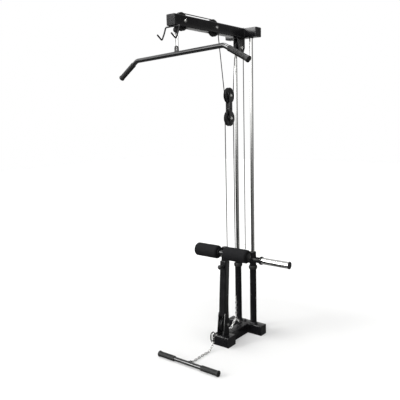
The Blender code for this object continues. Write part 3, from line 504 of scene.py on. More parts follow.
def make_base():
    make_foot("rear_foot")
    # The bolt that ties the posts' flange to the foot
    at = moved((-0.018, middle("rear_foot").y + 0.004, high("rear_foot").z))
    washer, head_top, shank_top = 0.0016, 0.0100, 0.0130
    bm = hexagon(0.0098, washer, head_top, at)
    ring(0.0120, 0.0040, 0, washer, at, bm=bm)
    rod(0.0050, 0, shank_top, at, bm=bm)
    piece("rear_foot_bolt", bm, "plastic", "frame")
    make_foot("front_foot")

    width, height = extent("base_beam").x, extent("front_foot").z
    start, end = high("front_foot").y, low("rear_foot").y
    bm = tube(width, height, start, end, moved((0, 0, height / 2)) @ ALONG_Y)
    piece("base_beam_tube", bm, "paint", "frame", ["base_beam"])
    for end_name, y in (("rear", end), ("front", start)):
        centre = (0, y, height / 2 + 0.0015)
        weld_box(f"weld_beam_{end_name}", centre, width, height - 0.005, "frame")

    wire, spread, bend = 0.0035, 0.013, 0.0115
    top = high("base_beam").z - wire
    corners = [(0, ANCHOR_Y - spread, height - 0.001), (0, ANCHOR_Y - spread, top),
               (0, ANCHOR_Y + spread, top), (0, ANCHOR_Y + spread, height - 0.001)]
    piece("anchor_arch", swept(rounded(corners, bend), wire, 14), "paint", "frame")
    for end_name, y in (("front", ANCHOR_Y - spread), ("rear", ANCHOR_Y + spread)):
        weld_round(f"weld_arch_{end_name}", (0, y, height), wire + 0.0008, "frame")


# ---------------------------------------------------------------- tower

def make_tower():
    for side, _ in SIDES:
        post = f"guide_post_{side}"
        centre = middle(post)
        at = moved((centre.x, centre.y, 0))
        foot, top = low(post).z, high(post).z
        flange, radius, bore = extent(post).x / 2, 0.024, 0.0160
        bm = lathe([(flange, foot), (flange, foot + 0.008), (flange - 0.003, foot + 0.0105),
                    (radius + 0.003, foot + 0.0125), (radius, foot + 0.016), (radius, top - 0.001),
                    (radius - 0.001, top), (bore, top), (bore, foot)], at, closed=True)
        piece(f"{post}_tube", bm, "paint", "frame", [post])
        seam = at @ Vector((0, 0, foot + 0.0005))
        weld_round(f"weld_post_{side}", seam, flange - 0.0006, "frame")

        bumper = f"bumper_{side}"
        base, crown = low(bumper).z, high(bumper).z
        bore, bulge = 0.0131, 0.006
        shoulder = extent(bumper).x / 2 - bulge
        profile = [(bore, base + 0.001), (bore + 0.001, base), (shoulder, base)]
        profile += arc((shoulder, (base + crown) / 2), (bulge, (crown - base) / 2 - 0.0004),
                       -QUARTER, QUARTER, 12)
        profile += [(shoulder, crown), (bore + 0.001, crown), (bore, crown - 0.001)]
        piece(f"{bumper}_ring", lathe(profile, at, closed=True), "rubber", "frame", [bumper])

        guide = f"guide_rod_{side}"
        radius = extent(guide).x / 2
        bm = rod(radius, low(guide).z, high(guide).z, at, 64)
        piece(f"{guide}_bar", bm, "chrome", "frame", [guide])
        # Lock collar under the crossbar, where the rod enters it
        under = low("top_crossbar").z
        bm = ring(radius + 0.0045, radius + 0.0002, under - 0.004, under, at)
        piece(f"rod_collar_{side}", bm, "paint", "frame", bevel=0.0008)


def make_top_frame():
    size, at = extent("top_crossbar"), middle("top_crossbar")
    bm = tube(size.z, size.y, -size.x / 2, size.x / 2, moved(at) @ ALONG_X)
    holes = bmesh.new()
    for side, _ in SIDES:
        rod(0.0131, at.z - size.z, at.z, moved((middle(f"guide_rod_{side}").x, 0, 0)), 48, holes)
    piece("crossbar_tube", bm, "paint", "frame", ["top_crossbar"], cuts=[holes])
    for side, sign in SIDES:
        turn = Matrix.Rotation(sign * QUARTER, 4, "Y")
        ribbed_cap(f"crossbar_cap_{side}", turn, (size.z, size.y), "X", sign)

    width, height = extent("boom").x, middle("boom").z
    start, end = low("boom").y, high("boom").y
    bm = tube(width, width, start, end, moved((0, 0, height)) @ ALONG_Y)
    slot_half_width, slot_reach = 0.012, 0.049
    slots = bmesh.new()
    for pulley in ("front_pulley", "mid_pulley"):
        y = middle(pulley).y
        outline = oval((0, y + slot_reach), (0, y - slot_reach), slot_half_width, 6)
        prism(outline, height - 0.1, height + 0.1, "Z", slots)
    piece("boom_tube", bm, "paint", "frame", ["boom"], cuts=[slots], bevel=0.0006)
    weld_box("weld_boom", (0, end, height), width, width, "frame")
    ribbed_cap("boom_cap", TOWARD_USER, (width, width), "Y", -1)


def ribbed_cap(node, turn, face, axis, sign):
    """An end cap: an eased flange, with raised ribs on its face and a plug inside the tube."""
    flange, plug_depth, rib_height, count = 0.0050, 0.012, 0.0010, 7
    width, height = face
    index = "XYZ".index(axis)
    at = middle(node)
    at[index] = (high(node) if sign > 0 else low(node))[index] - sign * (flange + rib_height)
    aim = moved(at) @ turn
    inside = 2 * WALL + 0.0006
    plug = (width - inside, height - inside, 0.0025)
    outer = (width, height, TUBE_CORNER)
    bm = stacked([(*plug, -plug_depth), (*plug, 0), (*outer, 0), (*outer, flange - 0.0016),
                  (width - 0.0012, height - 0.0012, TUBE_CORNER, flange - 0.0005),
                  (width - 0.0036, height - 0.0036, TUBE_CORNER, flange)], aim)
    pitch = (width - 0.014) / count
    for k in range(count):
        x = (k - (count - 1) / 2) * pitch
        rib = [(x + px, py) for px, py in rectangle(pitch * 0.55, height - 0.016, 0.0012, 3)]
        prism(rib, flange - 0.0004, flange + rib_height, "Z", bm, aim)
    piece(f"{node}_plug", bm, "cap", "frame", [node], bevel=0.0004)


def make_plates(name, node, outline, gap, axle):
    """A folded bracket: an outline in the YZ plane with a gap cut between its plates."""
    lo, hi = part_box(node)
    hole = rod(BOLT_HOLE, lo.x - 0.01, hi.x + 0.01, moved((0, axle.y, axle.z)) @ ALONG_X)
    bm = prism(outline, lo.x, hi.x)
    piece(name, bm, "paint", "frame", [node], bevel=0.0010, cuts=[gap, hole])


def make_brackets():
    plate, over = 0.005, 0.01
    # Hanger under the boom, for the pulley above the carriage
    lo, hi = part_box("hanger_bracket")
    chamfer = 0.020
    outline = [(lo.y, hi.z), (lo.y, lo.z + 2 * chamfer), (lo.y + chamfer, lo.z),
               (hi.y - chamfer, lo.z), (hi.y, lo.z + 2 * chamfer), (hi.y, hi.z)]
    gap = block((lo.x + plate, lo.y - over, lo.z - over), (hi.x - plate, hi.y + over, hi.z - plate))
    make_plates("hanger_plates", "hanger_bracket", outline, gap, middle("hanger_pulley"))
    for side, sign in SIDES:
        x = (hi.x if sign > 0 else lo.x) + sign * 0.0005
        bead = [(x, lo.y + 0.004, hi.z), (x, hi.y - 0.004, hi.z)]
        weld(f"weld_hanger_{side}", bead, "frame", 0.0024)

    # Low bracket round the upright's foot
    lo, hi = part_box("low_bracket")
    top_front = lo.y + 0.019
    outline = [(lo.y, lo.z), (hi.y, lo.z), (hi.y, hi.z - 0.006), (hi.y - 0.006, hi.z),
               (top_front + 0.008, hi.z), (top_front, hi.z - 0.010)]
    inner = hi.x - plate
    gap = block((-inner, lo.y - over, lo.z + plate), (inner, hi.y + over, hi.z + over))
    make_plates("low_plates", "low_bracket", outline, gap, middle("low_pulley"))
    for side, sign in SIDES:
        x = hi.x if sign > 0 else lo.x
        bead = [(x, lo.y + 0.003, lo.z), (x, hi.y - 0.003, lo.z)]
        weld(f"weld_low_{side}", bead, "frame", 0.0026)

    lo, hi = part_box("bar_hooks")
    inset, radius = 0.004, 0.0047
    shoulder, valley, tip = 2.112, 2.072, 2.100
    x, back = hi.x - inset, hi.y - inset
    half = [(x, back, hi.z - inset), (x, hi.y - 0.020, shoulder), (x, hi.y - 0.042, valley),
            (x, hi.y - 0.081, tip)]
    mirrored = [(-px, py, pz) for px, py, pz in reversed(half)]
    bm = swept(rounded(mirrored + half, 0.008, 6), radius, 16)
    piece("hook_rod", bm, "paint", "frame", ["bar_hooks"], bevel=0.0008, sharp=50)
    for side, sign in SIDES:
        bead = [(sign * x, back, hi.z - 0.0005) for x in (0.008, 0.024)]
        weld(f"weld_hook_{side}", bead, "frame", 0.0022)


# ---------------------------------------------------------------- pulleys

WHEELS = {
    "front": "front_wheel", "mid": "mid_wheel", "hanger": "hanger_wheel", "low": "low_wheel",
    "float_top": "float_top_wheel", "float_low": "float_low_wheel",
}
BOOM_SPACER_END = 0.029


def make_pulleys():
    for name, body in WHEELS.items():
        node = f"{name}_pulley"
        at = middle(node)
        rim, half = extent(node).z / 2, 0.009
        groove = rim - CABLE_INSET - CABLE_RADIUS - 0.0010
        aim = moved(at) @ ALONG_X
        bearing = 0.0155
        # Rim with a round-bottomed groove and a web set back on both faces
        side = [(bearing, 0.0080), (bearing + 0.0045, 0.0080), (bearing + 0.0060, 0.0052),
                (rim - 0.0155, 0.0052), (rim - 0.0125, half), (rim - 0.0022, half),
                (rim - 0.0009, half - 0.0005), (rim, half - 0.0016), (rim - 0.0006, half - 0.0030),
                (groove + 0.0028, 0.0032), (groove + 0.0009, 0.0022), (groove, 0.0008)]
        bm = lathe(side + [(r, -h) for r, h in reversed(side)], aim, 72, closed=True)
        # Spokes moulded on the web, which also show that the wheel turns
        spoke = [(bearing + 0.003, -0.0016), (rim - 0.0135, -0.0016),
                 (rim - 0.0135, 0.0016), (bearing + 0.003, 0.0016)]
        for k in range(6):
            turn = aim @ Matrix.Rotation(CIRCLE / 6 * k, 4, "Z")
            for start, end in both_sides(0.0048, 0.0072):
                prism(spoke, start, end, "Z", bm, turn)
        piece(f"{name}_sheave", bm, "plastic", body, [node], sharp=30)

        bm = ring(bearing - 0.0002, 0.0118, -0.0070, 0.0070, aim)
        ring(0.0090, BOLT_HOLE, -0.0078, 0.0078, aim, bm=bm)
        piece(f"{name}_bearing", bm, "zinc", body, bevel=0.0004)
        bm = ring(0.0116, 0.0092, -0.0064, 0.0064, aim)
        piece(f"{name}_bearing_seal", bm, "plastic", body)

        axle = f"{name}_axle"
        grip = extent(axle).x / 2 - 0.006
        owner = "float_block" if name.startswith("float") else "frame"
        bolt(f"{name}_bolt", at, grip, owner, [axle])
        spacer_end = BOOM_SPACER_END if name in ("front", "mid") else grip - 0.0056
        if spacer_end > 0.0105:
            bm = bmesh.new()
            for start, end in both_sides(0.0084, spacer_end):
                ring(0.0082, 0.0052, start, end, aim, bm=bm)
            piece(f"{name}_spacers", bm, "zinc", owner, bevel=0.0003)


def make_float_block():
    """Two flat bars joined by two small bolts, with a pulley at each end."""
    top, bottom = middle("float_top_pulley"), middle("float_low_pulley")
    inner, outer = 0.011, 0.016
    outline = oval((top.y, top.z), (bottom.y, bottom.z), extent("float_plates").y / 2, 12)
    bm, holes = bmesh.new(), bmesh.new()
    for start, end in both_sides(inner, outer):
        prism(outline, start, end, "X", bm)
    for centre in (top, bottom):
        rod(BOLT_HOLE, -0.05, 0.05, moved(centre) @ ALONG_X, bm=holes)
    piece("float_bars", bm, "paint", "float_block", ["float_plates"], bevel=0.0009, cuts=[holes])
    bolt_drop, nut = 0.088, 0.0028
    for k, y in enumerate((-0.0085, 0.0085)):
        aim = moved((0, top.y + y, top.z - bolt_drop)) @ ALONG_X
        bm = rod(0.0040, -0.0165, 0.0165, aim)
        for start, end in both_sides(outer, outer + nut):
            hexagon(0.0052, start, end, aim, bm)
        piece(f"float_spacer_{k}", bm, "plastic", "float_block", sharp=30)


# ---------------------------------------------------------------- cables

def cable(name, path, body, replaces=()):
    return piece(name, swept(path, CABLE_RADIUS, 12), "cable", body, replaces, sharp=60)


def span(name, start, end, still, moving, replaces=()):
    """A straight run of cable between a body that stays and one that moves. The still and moving
    bodies given are not used.
    """
    obj = bare(name, swept([start, end], CABLE_RADIUS, 12))
    obj.data.materials.append(MATS["cable"])
    smooth(obj, 60)
    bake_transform(obj)
    if replaces:
        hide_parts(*replaces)
    return obj


def tangent(first, first_sense, second, second_sense, radius):
    """Where a cable leaves one wheel and meets the next. Sense +1 winds anticlockwise."""
    run = second - first
    offset = radius * (second_sense - first_sense)
    length = math.sqrt(run.length_squared - offset ** 2)
    heading = math.atan2(run.y, run.x) - math.atan2(offset, length)
    normal = Vector((-math.sin(heading), math.cos(heading)))
    return first - first_sense * radius * normal, second - second_sense * radius * normal


def wrap(centre, start, end, sense, radius, steps=20):
    first = math.atan2(start.y - centre.y, start.x - centre.x)
    last = math.atan2(end.y - centre.y, end.x - centre.x)
    sweep = (last - first) * sense % CIRCLE * sense
    return arc(centre, radius, first, first + sweep, steps)


def lifted(*points):
    """(y, z) points in the plane X = 0."""
    return [RAISED["X"](p, 0.0) for p in points]


def flat(node):
    at = middle(node)
    return Vector((at.y, at.z))


def make_cables():
    front, mid, hanger, bottom, float_top, float_low = (flat(f"{name}_pulley") for name in WHEELS)
    radius = extent("front_pulley").z / 2 - CABLE_INSET
    across = Vector((radius, 0))

    leave_front, meet_mid = tangent(front, -1, mid, -1, radius)
    leave_mid, meet_float = tangent(mid, -1, float_top, 1, radius)
    leave_float, meet_hanger = tangent(float_top, 1, hanger, -1, radius)
    over_boom = wrap(front, front - across, leave_front, -1, radius)
    over_boom += wrap(mid, meet_mid, leave_mid, -1, radius)
    cable("boom_cable", lifted(*over_boom), "frame", ["top_cable"])

    span("cable_mid_to_float", *lifted(leave_mid, meet_float), "frame", "float_block")
    under_float = wrap(float_top, meet_float, leave_float, 1, radius)
    cable("cable_under_float", lifted(*under_float), "float_block", ["high_loop_cable"])
    span("cable_hanger_to_float", *lifted(meet_hanger, leave_float), "frame", "float_block")
    over_hanger = wrap(hanger, meet_hanger, hanger + across, -1, radius)
    cable("cable_over_hanger", lifted(*over_hanger), "frame")

    drop = hanger + across
    ends = lifted(drop, (drop.x, high("carriage_frame").z))
    span("cable_to_carriage", *ends, "frame", "carriage", ["lift_cable"])
    drop = front - across
    ends = lifted(drop, (drop.x, high("stopper").z))
    span("cable_to_bar", *ends, "frame", "bar_stopper", ["lat_cable"])

    back, under = bottom + across, bottom - Vector((0, radius))
    cable("cable_round_low", lifted(*wrap(bottom, back, under, -1, radius)), "frame")
    over_float = wrap(float_low, float_low + across, float_low - across, 1, radius)
    cable("cable_over_float", lifted(*over_float), "float_block", ["low_loop_cable"])
    span("cable_low_to_float", *lifted(back, float_low - across), "frame", "float_block")
    anchor = Vector((float_low.x + radius, high("anchor_chain").z))
    span("cable_anchor_to_float", *lifted(anchor, float_low + across), "frame", "float_block")
    crimp("crimp_anchor", (0, anchor.x, anchor.y + 0.006), 0.030, "frame")

    row_end = Vector((high("row_cable_eye").y, under.y))
    span("cable_to_row", *lifted(under, row_end), "frame", "row", ["row_cable"])
    wire, size = 0.0032, extent("row_cable_eye")
    loop = stadium(size.y - 2 * wire, size.z - 2 * wire, 14)
    eye = swept([middle("row_cable_eye") + p for p in loop], wire, 14, closed=True)
    piece("row_eye", eye, "cable", "row", ["row_cable_eye"], sharp=60)
    crimp("crimp_row", (0, row_end.x + 0.012, row_end.y), 0.024, "row", ALONG_Y)


def crimp(name, at, length, body, turn=Matrix()):
    """A pressed sleeve that closes a cable's end loop."""
    radius, ease, half = 0.0052, 0.001, length / 2
    profile = [(CABLE_RADIUS, -half), (radius - ease, -half), (radius, ease - half)]
    for k in range(1, 6):
        h = length * k / 6 - half
        profile += [(radius, h - 0.0012), (radius - 0.0006, h), (radius, h + 0.0012)]
    profile += [(radius, half - ease), (radius - ease, half), (CABLE_RADIUS, half)]
    piece(name, lathe(profile, moved(at) @ turn, 24, closed=True), "zinc", body)


# ---------------------------------------------------------------- chains

def chain_links(name, path, body, replaces=(), mat="bright_zinc"):
    """Oval links along a path, each a quarter turn from the last."""
    points = even(path, LINK_PITCH)
    bm = bmesh.new()
    centre_line = stadium(LINK_WIDTH - LINK_WIRE, LINK_PITCH + 1.2 * LINK_WIRE, 8)
    previous = None
    for i, (start, end) in enumerate(zip(points, points[1:])):
        along = (end - start).normalized()
        side = previous or along.orthogonal().normalized()
        side = (side - along * side.dot(along)).normalized()
        previous = side
        other = along.cross(side)
        if i % 2:
            side, other = other, -side
        turn = Matrix((side, other, along)).transposed().to_4x4()
        turn.translation = (start + end) / 2
        swept([turn @ p for p in centre_line], LINK_WIRE / 2, 10, closed=True, bm=bm)
    return piece(name, bm, mat, body, replaces, sharp=60)


LINK_PITCH = 0.0195
LINK_WIRE = 0.0042
LINK_WIDTH = 0.0160


def make_chains():
    y = middle("float_low_pulley").y + extent("float_low_pulley").z / 2 - CABLE_INSET
    fork = 0.138
    path = [(0, y, high("anchor_chain").z - 0.006), (0, y, fork),
            (0, ANCHOR_Y - 0.008, high("base_beam").z - 0.006)]
    chain_links("anchor_links", rounded(path, 0.012), "frame", ["anchor_chain"])
    # The spare end hangs from the last used link and lies on the beam
    beam_top = extent("rear_foot").z + LINK_WIDTH / 2
    path = [(-0.002, y - 0.006, fork + 0.004), (-0.014, y - 0.046, beam_top)]
    chain_links("anchor_spare_links", path, "frame")

    start = Vector((0, middle("row_carabiner").y, low("row_carabiner").z + 0.004))
    floor = LINK_WIDTH / 2 + 0.0002
    eye = Vector((0, high("row_handle").y - 0.010, middle("row_handle").z))
    path = [start, (-0.003, start.y - 0.010, 0.026), (-0.006, start.y - 0.040, floor),
            (-0.008, -0.560, floor), (-0.005, -0.620, floor),
            (0, eye.y + 0.014, floor + 0.002), eye]
    chain_links("row_links", path, "row", ["row_chain"], "zinc")


def carabiner(name, node, body, plane):
    """An oval snap link: a bent rod with a hinged gate and a threaded sleeve over its nose."""
    size = extent(node)
    wire = 0.003
    turn = moved(middle(node))
    across = size.y
    if plane == "XZ":
        turn = turn @ Matrix.Rotation(QUARTER, 4, "Z")
        across = size.x
    width = across - 2 * wire
    loop = [turn @ p for p in stadium(width, size.z - 2 * wire, 14)]
    bm = swept(loop, wire, 14, closed=True)
    gate = turn @ moved((0, -width / 2, 0))
    reach = (size.z - 2 * wire - width) / 2
    # Radius over the wire, start, end and sides: the sleeve, its nose, its knurl and the hinge
    bands = [(0.0014, -0.45, 0.35, 12), (0.0006, 0.35, 0.60, 24)]
    bands += [(0.0019, -0.40 + 0.16 * k, -0.33 + 0.16 * k, 12) for k in range(5)]
    bands += [(0.0008, -0.85, -0.70, 24)]
    for over, start, end, sides in bands:
        ring(wire + over, wire * 0.9, reach * start, reach * end, gate, sides, bm)
    piece(name, bm, "zinc", body, [node], sharp=40)


# ---------------------------------------------------------------- pulldown bar

def ribbed(radius, start, end):
    """Profile of a moulded grip's ribs between two heights."""
    pitch, depth = 0.0042, 0.0009
    count = int((end - start) / pitch)
    step = (end - start) / count
    points = []
    for k in range(count):
        h = start + step * k
        points += [(radius - depth, h), (radius - depth, h + step * 0.22),
                   (radius, h + step * 0.42), (radius, h + step * 0.80)]
    return points


def make_bar():
    radius = extent("stopper").x / 2
    profile = [(0, radius * 0.985), (0.0028, radius * 0.992)]
    for step in range(1, 24):
        angle = math.pi * (0.5 - step / 24)
        seam = 0.0004 if step == 12 else 0.0
        profile.append((radius * math.cos(angle) - seam, radius * math.sin(angle)))
    profile.append((0, -radius))
    bm = lathe(profile, moved(middle("stopper")))
    piece("stopper_ball", bm, "rubber", "bar_stopper", ["stopper"])
    carabiner("bar_snap_link", "lat_carabiner", "bar_link", "YZ")

    pivot = moved((0, middle("lat_carabiner").y, BAR_HEIGHT))
    hang = pivot @ Matrix.Rotation(BAR_YAW, 4, "Z") @ Matrix.Rotation(-BAR_TIP, 4, "Y")
    tube_radius, bend_x, end_x, drop = 0.014, 0.375, 0.540, 0.092
    half = [(bend_x, 0, 0), (end_x, 0, -drop)]
    path = rounded([(-x, y, z) for x, y, z in reversed(half)] + half, 0.060, 12)
    bm = swept([hang @ p for p in path], tube_radius, 32)
    piece("bar_tube", bm, "bar_paint", "bar", ["pulldown_bar"])

    tab_half, tab_top, hole_z, thickness = 0.016, 0.047, 0.029, 0.004
    foot = tube_radius - 0.005
    outline = [(tab_half, foot)] + arc((0, tab_top - tab_half), tab_half, 0, math.pi, 16)
    outline.append((-tab_half, foot))
    tab = prism(outline, -thickness, thickness, "Y")
    hole = rod(0.0084, -0.02, 0.02, moved((0, 0, hole_z)) @ ALONG_Y)
    piece("bar_eye", tab, "paint", "bar", bevel=0.0012, cuts=[hole], at=hang)
    crown = math.sqrt(tube_radius ** 2 - thickness ** 2)
    corners = ((tab_half, thickness), (-tab_half, thickness), (-tab_half, -thickness),
               (tab_half, -thickness))
    bead = [hang @ Vector((*corner, crown)) for corner in corners]
    weld("weld_bar_eye", bead, "bar", 0.0022, closed=True)

    # A grip, with its heights from the bar's end: the sleeve lies below it and the cap above
    slope = Vector((end_x - bend_x, 0, -drop)).normalized()
    grip, length, cap, bore = 0.0168, 0.150, 0.008, tube_radius + 0.0002
    profile = [(0, 0.0002), (bore, 0.0002), (bore, -length), (grip - 0.0016, -length),
               (grip, 0.002 - length), (grip, 0.006 - length)]
    profile += ribbed(grip, 0.007 - length, -0.010)
    profile += [(grip, -0.008), (grip + 0.0008, -0.002), (grip + 0.0020, 0.0)]
    profile += arc((grip - 0.0010, cap - 0.003), 0.003, 0, QUARTER, 4)
    profile += [(0.0060, cap), (0.0052, cap - 0.0010), (0, cap - 0.0010)]
    for side, sign in SIDES:
        along = Vector((sign * slope.x, 0, slope.z)).to_track_quat("Z", "Y").to_matrix().to_4x4()
        bm = lathe(profile, hang @ moved((sign * end_x, 0, -drop)) @ along, 40)
        piece(f"bar_grip_{side}_sleeve", bm, "rubber", "bar", [f"bar_grip_{side}"])


# ---------------------------------------------------------------- carriage

def make_carriage():
    lo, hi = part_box("carriage_frame")
    rod_x = middle("guide_rod_right").x
    peg_z = middle("plate_peg_right").z
    half_depth, half_height = 0.020, 0.025
    sleeve, bore = 0.0245, 0.0136
    sleeve_top = lo.z + 0.102
    section = rectangle(2 * half_depth, 2 * half_height, 0.003, 4)
    bm = prism(section, -rod_x, rod_x, "X", turn=moved((0, 0, peg_z)))
    rods = bmesh.new()
    for _, sign in SIDES:
        rod(sleeve - 0.002, lo.z - 0.01, hi.z, moved((sign * rod_x, 0, 0)), 48, rods)
    piece("carriage_bar", bm, "paint", "carriage", ["carriage_frame"], cuts=[rods])

    for side, sign in SIDES:
        at = moved((sign * rod_x, 0, 0))
        profile = [(sleeve - 0.001, lo.z), (sleeve, lo.z + 0.001), (sleeve, sleeve_top - 0.001),
                   (sleeve - 0.001, sleeve_top), (bore + 0.004, sleeve_top), (bore + 0.004, lo.z)]
        piece(f"carriage_sleeve_{side}", lathe(profile, at, closed=True), "paint", "carriage")
        bush_top = sleeve_top + 0.0018
        bm = ring(bore + 0.0038, bore, lo.z, bush_top, at)
        ring(bore + 0.0062, bore, sleeve_top + 0.0002, bush_top, at, bm=bm)
        piece(f"carriage_bush_{side}", bm, "plastic", "carriage", bevel=0.0004)
        # The bar's top and bottom meet the sleeve nearer its middle than the bar's faces do
        nearest, edge = rod_x - sleeve, rod_x - math.sqrt(sleeve ** 2 - half_depth ** 2)
        bead = [(sign * (edge if abs(y) > 0.019 else nearest), y, peg_z + z) for y, z in section]
        weld(f"weld_sleeve_{side}", bead, "carriage", 0.0024, closed=True)

        # The parts of the peg, along X from the tower's middle
        mirror = moved((0, 0, peg_z)) @ (MIRROR if sign < 0 else Matrix()) @ ALONG_X
        start, end = low("plate_peg_right").x, high("plate_peg_right").x
        stub, collar, thick, collar_end = 0.021, 0.031, 0.012, start - 0.0003
        stub_start = math.sqrt(sleeve ** 2 - stub ** 2) + rod_x - 0.004
        collar_start = collar_end - thick
        profile = [(0, stub_start), (stub, stub_start), (stub, collar_start - 0.014),
                   (collar - 0.0015, collar_start - 0.001), (collar, collar_start + 0.001),
                   (collar, collar_end - 0.0015), (collar - 0.0015, collar_end), (0, collar_end)]
        piece(f"peg_collar_{side}", lathe(profile, mirror), "paint", "carriage")

        peg = extent("plate_peg_right").z / 2
        profile = [(peg - WALL, start), (peg, start), (peg, end - 0.0008), (peg - 0.0008, end),
                   (peg - WALL, end)]
        bm = lathe(profile, mirror, 96, closed=True)
        piece(f"plate_peg_{side}_tube", bm, "peg_chrome", "carriage", [f"plate_peg_{side}"])
        rim, cap_end = extent("peg_cap_right").z / 2, high("peg_cap_right").x
        plug, ease = peg - WALL - 0.0003, 0.0018
        profile = [(0, end - 0.012), (plug, end - 0.012), (plug, end + 0.0003), (rim, end + 0.0003)]
        profile += arc((rim - ease, cap_end - ease), ease, 0, QUARTER, 4)
        profile += [(rim - 0.006, cap_end), (rim - 0.007, cap_end - 0.0008), (0, cap_end - 0.0008)]
        bm = lathe(profile, mirror, 64)
        piece(f"peg_cap_{side}_plug", bm, "plastic", "carriage", [f"peg_cap_{side}"])

    # Eye bolt that takes the cable's end
    top = peg_z + half_height
    bm = hexagon(0.0098, top, top + 0.007)
    rod(0.0048, top, hi.z - 0.016, bm=bm)
    eye = [Vector((0, 0, hi.z - 0.010)) + p for p in stadium(0.0145, 0.0145)]
    swept(eye, 0.0024, 12, closed=True, bm=bm)
    piece("lift_eye", bm, "zinc", "carriage", sharp=40)
    crimp("crimp_lift", (0, 0, hi.z + 0.014), 0.026, "carriage")


# ---------------------------------------------------------------- knee rollers

def squares(layers, turn, closed=False):
    """A skin over rounded squares, each given as (width, corner, place along Z)."""
    return stacked([(width, width, corner, z) for width, corner, z in layers], turn, closed)


def make_upright():
    """Make the leaning tube and its pin. Returns the tube's foot and its lean."""
    lean = Matrix.Rotation(-UPRIGHT_LEAN, 4, "X")
    lo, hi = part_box("front_upright")
    size = hi.x - lo.x
    # The tube's own ends: its corners reach past them by half its width times the lean
    tilt = size / 2 * math.sin(UPRIGHT_LEAN)
    bottom, top = lo.z + tilt, hi.z - tilt
    axis_y = hi.y - size / 2 * math.cos(UPRIGHT_LEAN)
    foot = Vector((0, axis_y - math.tan(UPRIGHT_LEAN) * (top - bottom), bottom))
    length = (top - bottom) / math.cos(UPRIGHT_LEAN)
    aim = moved(foot) @ lean
    along = (middle("pin_housing") - foot).dot(lean @ Vector((0, 0, 1)))
    pin = aim @ moved((0, 0, along))
    hole = rod(0.0046, -0.04, -0.01, pin @ ALONG_Y)
    bm = tube(size, size, 0, length, aim, 0.0035)
    piece("upright_tube", bm, "paint", "frame", ["front_upright"], cuts=[hole])
    # Plastic guide sleeve between the two tubes
    inside, inner = size - 0.0076, extent("roller_post").x + 0.0008
    sleeve_end, lip, crest = length - 0.030, length + 0.0003, length + 0.0028
    layers = [(inside, 0.002, sleeve_end), (inside, 0.002, lip), (size - 0.0010, 0.004, lip),
              (size - 0.0030, 0.004, crest), (inner, 0.003, crest), (inner, 0.003, sleeve_end)]
    piece("upright_bush", squares(layers, aim, closed=True), "plastic", "frame")

    face = size / 2
    pin = pin @ TOWARD_USER
    bm = hexagon(0.0125, face + 0.0003, face + 0.009, pin)
    ring(0.0098, 0.0046, face + 0.0088, face + 0.0142, pin, bm=bm)
    piece("pin_housing_nut", bm, "plastic", "frame", ["pin_housing"], sharp=30)

    knob, ease, neck = 0.0165, 0.0030, face + 0.018
    start, end = face + 0.024, face + 0.046
    profile = [(0, face - 0.0035), (0.0034, face - 0.0035), (0.0040, face - 0.0028),
               (0.0040, neck - 0.002), (0.0080, neck), (0.0086, start - 0.002), (0.0110, start),
               (knob - 0.0012, start + 0.003)]
    profile += arc((knob - ease, (start + end) / 2), (ease, (end - start - 0.012) / 2),
                   -QUARTER, QUARTER, 8)
    profile += [(knob - 0.004, end - 0.0035), (0.0100, end - 0.0008), (0.0050, end), (0, end)]
    piece("pin_knob", lathe(profile, pin, 48), "plastic", "pin", ["pull_pin"])
    return foot, lean


def make_knee_rollers(foot, lean):
    lo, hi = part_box("roller_post")
    size = hi.x - lo.x
    tilt = size / 2 * math.sin(UPRIGHT_LEAN)
    up = lean @ Vector((0, 0, 1))
    bottom = foot + up * ((lo.z + tilt - foot.z) / up.z)
    length = (hi.z - lo.z - 2 * tilt) / up.z
    aim = moved(bottom) @ lean
    along = (middle("pin_housing") - bottom).dot(up)
    hole_pitch = 0.020
    holes = bmesh.new()
    for k in range(-1, 3):
        at = aim @ moved((0, 0, along + hole_pitch * k)) @ ALONG_Y
        rod(0.0045, -0.04, -0.01, at, bm=holes)
    bm = tube(size, size, 0, length, aim)
    piece("post_tube", bm, "paint", "knee_post", ["roller_post"], cuts=[holes])
    plug, lip = size - 0.0068, length + 0.0001
    layers = [(plug, 0.0015, length - 0.014), (plug, 0.0015, lip), (size, 0.0045, lip),
              (size - 0.0008, 0.0045, length + 0.0022), (size - 0.0060, 0.0040, length + 0.0034)]
    piece("post_cap", squares(layers, aim), "plastic", "knee_post")

    axle = middle("roller_axle")
    here = moved(axle) @ ALONG_X
    radius = 0.017
    foam_start, foam_end = low("foam_roller_right").x, high("foam_roller_right").x
    reach = foam_end + 0.0008
    bm = rod(radius, -reach, reach, here, 48)
    piece("roller_tube", bm, "paint", "knee_post", ["roller_axle"])
    # Along the axle's back, where it meets the leaning post
    half = size / 2 - 0.003
    y = axle.y + radius * math.cos(UPRIGHT_LEAN)
    z = axle.z - radius * math.sin(UPRIGHT_LEAN)
    weld("weld_axle_post", [(-half, y, z), (half, y, z)], "knee_post", 0.0030)
    inner = foam_start - 0.0008
    stop = [(radius, inner - 0.0055), (0.0244, inner - 0.0055), (0.0250, inner - 0.0049),
            (0.0250, inner - 0.0006), (0.0244, inner), (radius, inner)]
    cap = [(0, reach), (0.0235, reach), (0.0250, reach + 0.0010), (0.0250, reach + 0.0030),
           (0.0225, reach + 0.0050), (0.0080, reach + 0.0060), (0, reach + 0.0060)]
    for side, sign in SIDES:
        flip = here @ (Matrix.Scale(-1, 4, (0, 0, 1)) if sign < 0 else Matrix())
        piece(f"roller_stop_{side}", lathe(stop, flip, closed=True), "plastic", "knee_post")
        piece(f"roller_cap_{side}", lathe(cap, flip), "plastic", "knee_post")
        foam_roller(f"foam_sleeve_{side}", f"foam_roller_{side}", f"{side}_roller", flip,
                    foam_start, foam_end)


